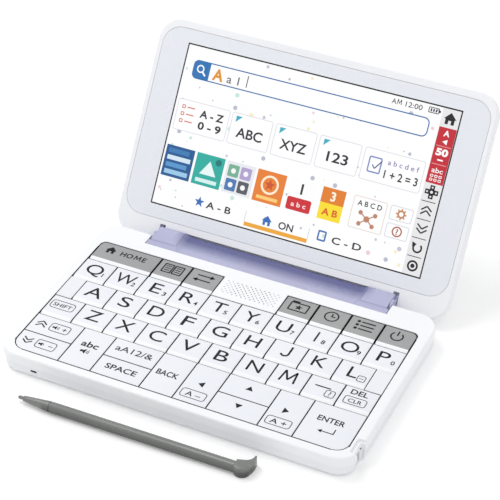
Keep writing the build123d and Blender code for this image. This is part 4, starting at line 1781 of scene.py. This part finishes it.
    def hollow(self, cap: bpy.types.Object, low: Vector) -> None:
        """Press the underside in, so that the keytop is a thin cap.

        Args:
            cap: The keytop.
            low: Its lowest corner.
        """
        Bench.pick(cap, Pick.FACE, lambda place, normal: faces_down(place, normal) and place.z < low.z + TOUCH)
        with Bench.editing(cap, Pick.FACE):
            bpy.ops.mesh.inset(thickness=self.wall * MM)
            bpy.ops.mesh.extrude_region_move(TRANSFORM_OT_translate={"value": (0.0, 0.0, self.roof * MM)})

    def legend(self, node: str) -> None:
        """Print one key's legend in the inks that it needs.

        Args:
            node: The key's name.
        """
        low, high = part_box(node)
        page = Page(((low.x + high.x) / 2 / MM, (low.y + high.y) / 2 / MM, high.z / MM))
        strong = FlatArt(node.replace("key_", "legend_"))
        light = FlatArt(node.replace("key_", "fine_legend_"))
        name = node[len("key_"):]
        for mark in LEGENDS.get(name) or self.letter(name):
            mark.draw(light if mark.light else strong, *mark.sizes)
        strong.lay(page, self.print_lift, Palette.LEGEND, node)
        light.lay(page, self.print_lift, Palette.SMALL_LEGEND, node)

    def letter(self, letter: str) -> Iterator[Mark]:
        """Describe a letter, and its digit where it has one.

        Args:
            letter: The key's letter.

        Yields:
            The marks of its legend.
        """
        width = self.letter_widths[letter]
        yield bold(FlatArt.letters, letter.upper(), LETTER_MIDDLE, LETTER_HEIGHT, width, LETTER_WEIGHT)
        if letter in self.digit_letters:
            digit = (self.digit_letters.index(letter) + 1) % 10
            middle = (self.near_digit if letter in self.near_digits else self.far_digit, self.digit_rise)
            width = self.digit_width if digit != 1 else 0.0
            yield bold(FlatArt.letters, str(digit), middle, self.digit_height, width, self.digit_weight)


@dataclass
class HingeBlock(Assembly):
    """The lavender barrel between base and lid, and the painted steel arms that turn in it."""

    def build(self) -> None:
        """Dress the barrel and the arms."""
        self.dress("hinge_barrel", Palette.LAVENDER)
        self.dress("hinge_arms", Palette.ARM_PAINT)


@dataclass
class StylusPen(Assembly):
    """The loose pen: a round shaft with a cone, a neck ring and a hooked thumb head."""

    edge_round: float = 0.12
    seam: float = 0.001
    flat_turn: float = 1.0
    sharp_turn: float = 40.0
    smooth_turn: float = 35.0

    def build(self) -> None:
        """Put a copy with softened edges in the pen's place, its facets shaded as one round."""
        pen = Bench.repeat(self.frame["nodes"]["stylus"].data, "stylus_pen", Vector())
        flat, any_shape = math.radians(self.flat_turn), math.radians(180.0)
        with Bench.editing(pen, Pick.VERTEX):
            bpy.ops.mesh.select_all(action="SELECT")
            bpy.ops.mesh.remove_doubles(threshold=self.seam * MM)
            bpy.ops.mesh.tris_convert_to_quads(face_threshold=flat, shape_threshold=any_shape)
        softener = pen.modifiers.new("edge", "BEVEL")
        softener.width, softener.segments = self.edge_round * MM, 2
        softener.limit_method, softener.angle_limit = "ANGLE", math.radians(self.sharp_turn)
        Bench.take(pen)
        bpy.ops.object.modifier_apply(modifier=softener.name)
        Bench.smooth(pen, self.smooth_turn)
        pen.data.materials.clear()
        pen.data.materials.append(Palette.PEN.material())
        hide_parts("stylus")
        Bench.deliver(pen, "stylus", "stylus_grey")


@dataclass
class LidShell(Assembly):
    """The lid's cover, frame and printed panel."""

    def build(self) -> None:
        """Dress the lid's three shells."""
        self.dress("lid_cover", Palette.LID)
        self.dress("lid_frame", Palette.RIM)
        self.dress("display_panel", Palette.PANEL)


@dataclass
class Screen(Assembly):
    """The lit display, in thin layers from 0 to 6: border, sheet, confetti, touch strip, tiles, art and signs."""

    page: Page = field(default_factory=lambda: Page((0.0, 46.8, 7.1), 56.2))
    glass: float = -3.40
    step: float = 0.03
    half_width: float = 61.1
    low: float = 14.2
    high: float = 83.2
    seed: int = 11
    specks: int = 120
    border: float = 0.35
    strip_left: float = 53.1
    tile_row: Point = (46.8, 60.1)
    tile_columns: tuple[Point, ...] = ((-59.6, -35.4), (-34.3, -15.7), (-14.3, 4.3), (5.6, 24.2), (25.6, 51.8))
    picture_row: Point = (26.7, 40.0)
    dark: Rgb = (44, 45, 52)
    sheet: Rgb = (253, 253, 254)
    strip_grey: Rgb = (232, 232, 234)
    hairline: Rgb = (206, 208, 218)
    layers: dict[tuple[int, Rgb], FlatArt] = field(default_factory=dict)

    def build(self) -> None:
        """Dress the display's body and draw all layers of the picture."""
        self.dress("lcd_module", Palette.CAN)
        parts = (
            self.ground, self.confetti, self.status_line, self.search_bar, self.tiles, self.tile_signs,
            self.pictures, self.badges, self.web, self.buttons, self.tabs, self.strip,
        )
        for draw in parts:
            draw()
        for (layer, colour), art in self.layers.items():
            finish = Lit(f"lit_{colour[0]}_{colour[1]}_{colour[2]}", colour)
            art.lay(self.page, self.glass + self.step * (layer + 1), finish, "lid", "display")

    def on(self, layer: int, colour: Rgb) -> FlatArt:
        """Find or begin the sheet that holds one colour of one layer.

        Args:
            layer: 0 is the lowest.
            colour: The sheet's colour.

        Returns:
            The sheet to draw on.
        """
        key = (layer, colour)
        if key not in self.layers:
            self.layers[key] = FlatArt(f"screen_{layer}_{len(self.layers)}")
        return self.layers[key]

    def area(self, layer: int, colour: Rgb, left: float, low: float, right: float, high: float) -> None:
        """Fill a rectangle given by its sides.

        Args:
            layer: The layer.
            colour: The colour.
            left: Left side.
            low: Lower side.
            right: Right side.
            high: Upper side.
        """
        self.on(layer, colour).bar(((left + right) / 2, (low + high) / 2), (right - left, high - low))

    def rounded_area(self, layer: int, colour: Rgb, sides: Sides, radius: float, line: float = 0.0) -> None:
        """Fill or outline a rectangle with round corners.

        Args:
            layer: The layer.
            colour: The colour.
            sides: Left, lower, right and upper side.
            radius: The corners' radius.
            line: The outline's width, or nothing to fill it.
        """
        left, low, right, high = sides
        self.on(layer, colour).card(((left + right) / 2, (low + high) / 2), (right - left, high - low), radius, line)

    def framed(self, fill: Rgb, edge: Rgb, sides: Sides, radius: float, line: float = 0.28) -> None:
        """Fill a rectangle with round corners and draw an outline over it."""
        self.rounded_area(4, fill, sides, radius)
        self.rounded_area(5, edge, sides, radius, line)

    def ground(self) -> None:
        """Draw the black border, the white sheet and the grey strip at the right."""
        side, foot, head = self.half_width - self.border, self.low + self.border, self.high - self.border
        self.area(0, (24, 24, 28), -self.half_width, self.low, self.half_width, self.high)
        self.area(1, self.sheet, -side, foot, side, head)
        self.area(3, self.strip_grey, self.strip_left, foot, side, head)

    def confetti(self) -> None:
        """Scatter pale dots over the sheet."""
        chance = random.Random(self.seed)
        colours = ((198, 196, 214), (248, 236, 196), (240, 206, 214), (184, 188, 204), (200, 230, 222))
        for _ in range(self.specks):
            place = (chance.uniform(-59.5, 51.5), chance.uniform(self.low + 1.6, self.high - 1.6))
            self.on(2, chance.choice(colours)).disc(place, chance.choice((0.35, 0.45, 0.55, 0.7, 0.95)), sides=14)

    def status_line(self) -> None:
        """Show the time and the charge at the top right."""
        clock = self.on(4, self.dark)
        clock.letters("A", (32.4, 80.7), 2.2, 1.9, 0.006)
        clock.capital_m((34.7, 80.7), (2.1, 2.2), 0.3)
        clock.letters("12:00", (41.0, 80.7), 2.2, 7.2, 0.006)
        self.rounded_area(4, self.dark, (47.2, 79.6, 51.8, 82.0), 0.4, 0.35)
        self.area(4, self.dark, 51.8, 80.3, 52.4, 81.3)
        for x in (48.4, 49.5, 50.6):
            self.area(5, self.dark, x - 0.35, 80.2, x + 0.3, 81.4)

    def search_bar(self) -> None:
        """Draw the entry field with its magnifier, sample text and cursor."""
        blue, white = (46, 116, 182), (255, 255, 255)
        self.framed(white, (58, 112, 170), (-56.7, 69.4, 49.1, 77.4), 2.4, 0.5)
        self.rounded_area(5, blue, (-56.7, 69.4, -50.0, 77.4), 2.2)
        self.area(5, blue, -53.0, 69.4, -48.9, 77.4)
        self.on(6, white).disc((-53.2, 73.9), 1.7, 0.55)
        self.on(6, white).line((-52.0, 72.7), (-50.6, 71.3), 0.75)
        self.on(6, (226, 146, 40)).letters("A", (-44.8, 73.3), 4.9, 5.0, 0.035)
        self.on(6, (104, 106, 114)).letters("a 1", (-37.8, 72.8), 3.6, 5.6, 0.01)
        self.area(6, (50, 50, 56), -31.6, 70.9, -31.2, 75.9)

    def tiles(self) -> None:
        """Draw the row of five large tiles, with a list and two words on the first."""
        low, high = self.tile_row
        for left, right in self.tile_columns:
            self.framed((254, 254, 255), (214, 215, 224), (left, low, right, high), 1.0)
        clay = (214, 118, 92)
        for level in (51.0, 54.0, 57.0):
            self.rounded_area(5, clay, (-57.4, level - 0.8, -55.8, level + 0.8), 0.3, 0.4)
            self.area(5, clay, -55.0, level - 0.25, -51.4, level + 0.25)
        self.on(6, self.dark).letters("A - Z", (-43.2, 55.8), 3.2, 11.0, 0.03)
        self.on(6, self.dark).letters("0 - 9", (-43.2, 50.9), 3.2, 10.6, 0.03)

    def tile_signs(self) -> None:
        """Draw what the other large tiles show: a corner and a word on three, a tick and a sum on the last."""
        for (left, right), label in zip(self.tile_columns[1:4], ("ABC", "XYZ", "123")):
            corner = self.on(6, (60, 176, 196)).wedge((left + 2.3, 57.8), (3.9, 1.95), 45.0)
            corner.data.transform(Matrix.Translation((0.35, 0.35, 0.0)))
            width = 11.8 if label.isalpha() else 9.4
            self.on(6, self.dark).letters(label, ((left + right) / 2, 52.4), 4.2, width, 0.02)
        self.rounded_area(5, (120, 138, 196), (28.1, 50.3, 33.9, 57.0), 0.8, 0.6)
        tick = self.on(6, (70, 84, 140))
        tick.line((30.0, 53.6), (31.2, 52.2), 0.5)
        tick.line((31.2, 52.2), (33.8, 55.8), 0.5)
        self.on(6, (122, 112, 178)).letters("a b c d e f", (43.0, 56.2), 2.2, 13.4, 0.01)
        self.on(6, self.dark).letters("1 + 2 = 3", (43.0, 51.2), 3.4, 14.6, 0.02)

    def pictures(self) -> None:
        """Draw the four small pictures: stripes, a hill, a grid and a badge."""
        low, high = self.picture_row
        self.area(4, (30, 88, 146), -59.9, low, -46.7, high)
        for index, tone in enumerate(((156, 200, 232), (86, 150, 204), (214, 232, 244), (58, 122, 182))):
            self.area(5, tone, -58.7, low + 1.2 + 3.0 * index, -47.9 - 1.1 * (index % 2), low + 3.1 + 3.0 * index)
        self.area(4, (44, 172, 160), -45.6, low, -32.5, high)
        self.on(5, (232, 248, 246)).wedge((-39.0, 34.4), (7.6, 6.0))
        self.on(5, (24, 120, 116)).disc((-35.2, 37.6), 1.4)
        self.area(5, (214, 242, 238), -44.0, 28.0, -34.2, 29.6)
        self.area(4, (232, 235, 240), -31.4, low, -18.4, high)
        for index, colour in enumerate(((74, 120, 176), (88, 90, 98), (120, 176, 148), (176, 160, 206))):
            left, level = -30.4 + 5.7 * (index % 2), 27.7 + 5.9 * (index // 2)
            self.rounded_area(5, colour, (left, level, left + 4.9, level + 5.1), 0.6)
            self.on(6, (246, 247, 250)).disc((left + 2.45, level + 2.55), 1.1, sides=16)
        self.area(4, (232, 128, 48), -17.3, low, -4.2, high)
        self.on(5, (255, 240, 214)).disc((-10.8, 34.4), 4.0, 0.9, 32)
        self.on(5, (206, 84, 40)).star((-10.8, 34.4), 2.6)
        self.area(5, (250, 206, 120), -15.6, 28.0, -6.0, 29.4)

    def badges(self) -> None:
        """Draw the two narrow tiles with a number and letters."""
        low, high = self.picture_row
        self.area(4, (252, 252, 253), -2.3, low, 9.1, high)
        self.rounded_area(5, (206, 42, 52), (-2.0, 27.0, 8.8, 32.4), 0.8)
        self.on(6, (250, 236, 236)).letters("a b c", (3.4, 29.7), 2.0, 6.6, 0.02)
        self.on(5, self.dark).letters("1", (3.4, 36.4), 4.4, 0.0, 0.03)
        self.area(4, (250, 222, 44), 12.2, low, 22.4, high)
        self.area(5, (226, 126, 40), 12.2, 33.6, 22.4, high)
        self.on(6, (255, 244, 222)).letters("3", (17.3, 36.8), 3.8, 0.0, 0.03)
        self.on(6, (214, 96, 30)).letters("A B", (17.3, 30.1), 2.8, 7.0, 0.03)

    def web(self) -> None:
        """Draw the tile with four dots round a hub under a line of letters."""
        low, high = self.picture_row
        self.framed((254, 254, 254), (222, 206, 198), (26.0, low, 40.6, high), 0.8)
        web, hub = self.on(6, (192, 132, 108)), (33.3, 31.4)
        for spot in ((30.2, 33.6), (36.6, 33.6), (30.4, 29.0), (36.2, 29.0)):
            web.line(hub, spot, 0.5)
            web.disc(spot, 0.95, sides=18)
        web.disc(hub, 1.3, sides=22)
        self.on(6, self.dark).letters("A B C D", (33.3, 37.4), 2.2, 10.6, 0.02)

    def buttons(self) -> None:
        """Draw the two buttons at the right: a cog over a question mark in a ring."""
        for level in (26.8, 34.1):
            self.framed(self.sheet, self.hairline, (42.1, level, 51.8, level + 5.9), 0.8)
        cog = self.on(6, (196, 132, 86))
        cog.disc((47.0, 37.05), 1.7, 0.75, 20)
        for turn in range(8):
            angle = math.radians(45.0 * turn)
            cog.bar((47.0 + 2.0 * math.cos(angle), 37.05 + 2.0 * math.sin(angle)), (0.6, 0.6), 45.0 * turn)
        question = self.on(6, (176, 104, 74))
        question.disc((47.0, 29.8), 2.2, 0.6, 22)
        question.letters("?", (47.0, 29.8), 2.4, 0.0, 0.03)

    def tabs(self) -> None:
        """Draw the three tabs with the underline of the chosen one."""
        blue = (52, 108, 184)
        self.on(5, blue).star((-39.6, 19.8), 2.4)
        self.on(5, self.dark).letters("A - B", (-30.6, 19.6), 2.9, 11.4, 0.02)
        self.area(3, self.sheet, -4.5, 17.3, 6.0, 22.0)
        self.on(5, blue).house((-8.3, 19.8), 4.6)
        self.on(5, self.dark).letters("ON", (0.4, 19.6), 3.1, 6.6, 0.02)
        self.rounded_area(5, blue, (14.6, 17.8, 18.4, 22.2), 0.6, 0.7)
        self.on(5, self.dark).letters("C - D", (27.6, 19.6), 2.9, 13.0, 0.02)
        self.area(5, (236, 168, 52), -18.0, 15.4, 10.7, 17.1)
        for x in (-18.1, 10.7):
            self.area(5, self.hairline, x - 0.15, 17.0, x + 0.15, 21.6)

    def strip(self) -> None:
        """Draw the touch strip at the right with its signs."""
        black = (26, 26, 30)
        signs = self.on(5, black)
        signs.house((56.9, 79.0), 5.4)
        self.area(4, (196, 36, 50), 53.3, 52.4, 60.7, 75.3)
        for level in (60.3, 67.7):
            self.area(5, (232, 150, 156), 53.9, level - 0.16, 60.1, level + 0.16)
        pale = self.on(5, (255, 255, 255))
        pale.letters("A", (57.0, 73.1), 2.4, 0.0, 0.03)
        pale.wedge((57.0, 69.6), (2.2, 2.0), 90.0)
        pale.letters("50", (57.0, 65.4), 2.8, 5.2, 0.045)
        pale.bar((57.0, 62.1), (2.4, 0.6))
        pale.letters("abc", (57.0, 57.9), 2.1, 4.8, 0.01)
        for row in (53.9, 55.5):
            for column in (55.2, 57.0, 58.8):
                pale.card((column, row), (1.3, 1.1), 0.3, 0.28)
        signs.bar((56.9, 48.9), (5.6, 2.0))
        signs.bar((56.9, 48.9), (2.0, 5.6))
        self.on(6, self.strip_grey).disc((56.9, 48.9), 0.6, sides=16)
        for x, y in ((55.0, 48.9), (58.8, 48.9), (56.9, 50.8), (56.9, 47.0)):
            self.on(6, self.strip_grey).disc((x, y), 0.4, sides=12)
        for level in (44.9, 37.4, 29.7, 22.1):
            self.area(5, black, 53.6, level - 0.16, 59.6, level + 0.16)
        signs.chevrons((56.7, 41.2), 4.4, False)
        signs.chevrons((56.7, 33.6), 4.4, True)
        signs.arc((56.9, 25.7), 2.1, 0.75, 130.0, 280.0)
        signs.wedge((54.9, 27.2), (2.2, 1.9), 40.0)
        signs.disc((56.8, 18.3), 2.3, 0.8, 28)
        signs.disc((56.8, 18.3), 0.9, sides=18)


# --------------------------------------------------------------------------------------
# Studio
# --------------------------------------------------------------------------------------


@dataclass(frozen=True)
class Lamp:
    """One large soft lamp: its place and its side in metres, its power in watts."""

    name: str
    place: Place
    size: float
    power: float


@dataclass
class Studio:
    """White surroundings, soft lamps and the camera. The table's reach and shift and the lamps' aim are in metres."""

    reach: float = 1.6
    shift: float = 0.1
    floor: float = -0.06
    lamps: tuple[Lamp, ...] = (
        Lamp("key_lamp", (-0.55, 0.10, 1.05), 0.6, 3.8), Lamp("fill_lamp", (0.55, -0.25, 1.0), 0.8, 1.3),
    )
    aim: Place = (0.0, 0.02, 0.03)
    glow: float = 0.73
    eye: Place = (251.119, -497.786, 477.513)
    azimuth: float = 25.572
    elevation: float = 37.417
    roll: float = -0.085
    lens: float = 133.04
    sensor: float = 36.0

    def build(self) -> None:
        """Set up everything around the object."""
        self.surroundings()
        self.ground()
        for lamp in self.lamps:
            self.hang(lamp)
        self.camera()
        bpy.context.scene.view_settings.view_transform = "Standard"

    def surroundings(self) -> None:
        """Make a world that looks white and lights a little less than it shows."""
        world = bpy.data.worlds.new("white_room")
        bpy.context.scene.world = world
        world.use_nodes = True
        graph = Graph(world.node_tree)
        shown = graph.remap(graph.seen(), 0.0, 1.0, self.glow, 1.0)
        back = graph.add("ShaderNodeBackground", Strength=shown, Color=WHITE)
        graph.add("ShaderNodeOutputWorld", Surface=back.outputs[0])

    def ground(self) -> None:
        """Lay the pale table top."""
        Bench.clear()
        bpy.ops.mesh.primitive_grid_add(x_subdivisions=12, y_subdivisions=12, size=2 * self.reach)
        table = bpy.context.active_object
        table.name = "table_top"
        table.data.transform(Matrix.Translation((0.0, self.shift, self.floor * MM)))
        table.data.materials.append(TableTop("table").material())

    def hang(self, lamp: Lamp) -> None:
        """Hang one lamp, pointed at the object.

        Args:
            lamp: The lamp.
        """
        light = bpy.data.lights.new(lamp.name, "AREA")
        light.energy, light.size, light.shape = lamp.power, lamp.size, "SQUARE"
        holder = bpy.data.objects.new(lamp.name, light)
        bpy.context.scene.collection.objects.link(holder)
        holder.location = lamp.place
        holder.rotation_euler = (Vector(self.aim) - Vector(lamp.place)).to_track_quat("-Z", "Y").to_euler()

    def camera(self) -> None:
        """Stand the camera where the object is seen from its front right."""
        lens = bpy.data.cameras.new("view")
        lens.lens, lens.sensor_width, lens.clip_start, lens.clip_end = self.lens, self.sensor, 0.01, 20.0
        holder = bpy.data.objects.new("view", lens)
        bpy.context.scene.collection.objects.link(holder)
        holder.location = Vector(self.eye) * MM
        look = Euler((math.radians(90.0 - self.elevation), 0.0, math.radians(self.azimuth))).to_quaternion()
        holder.rotation_mode = "QUATERNION"
        holder.rotation_quaternion = look @ Quaternion((0.0, 0.0, 1.0), math.radians(self.roll))
        bpy.context.scene.camera = holder


def main() -> None:
    """Build the object on its frame, then the studio around it."""
    logging.basicConfig(level=logging.INFO)
    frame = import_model()
    for part in (Casing, Internals, Keyboard, HingeBlock, LidShell, Screen, StylusPen):
        part(frame).build()
    Studio().build()


if __name__ == "__main__":
    main()
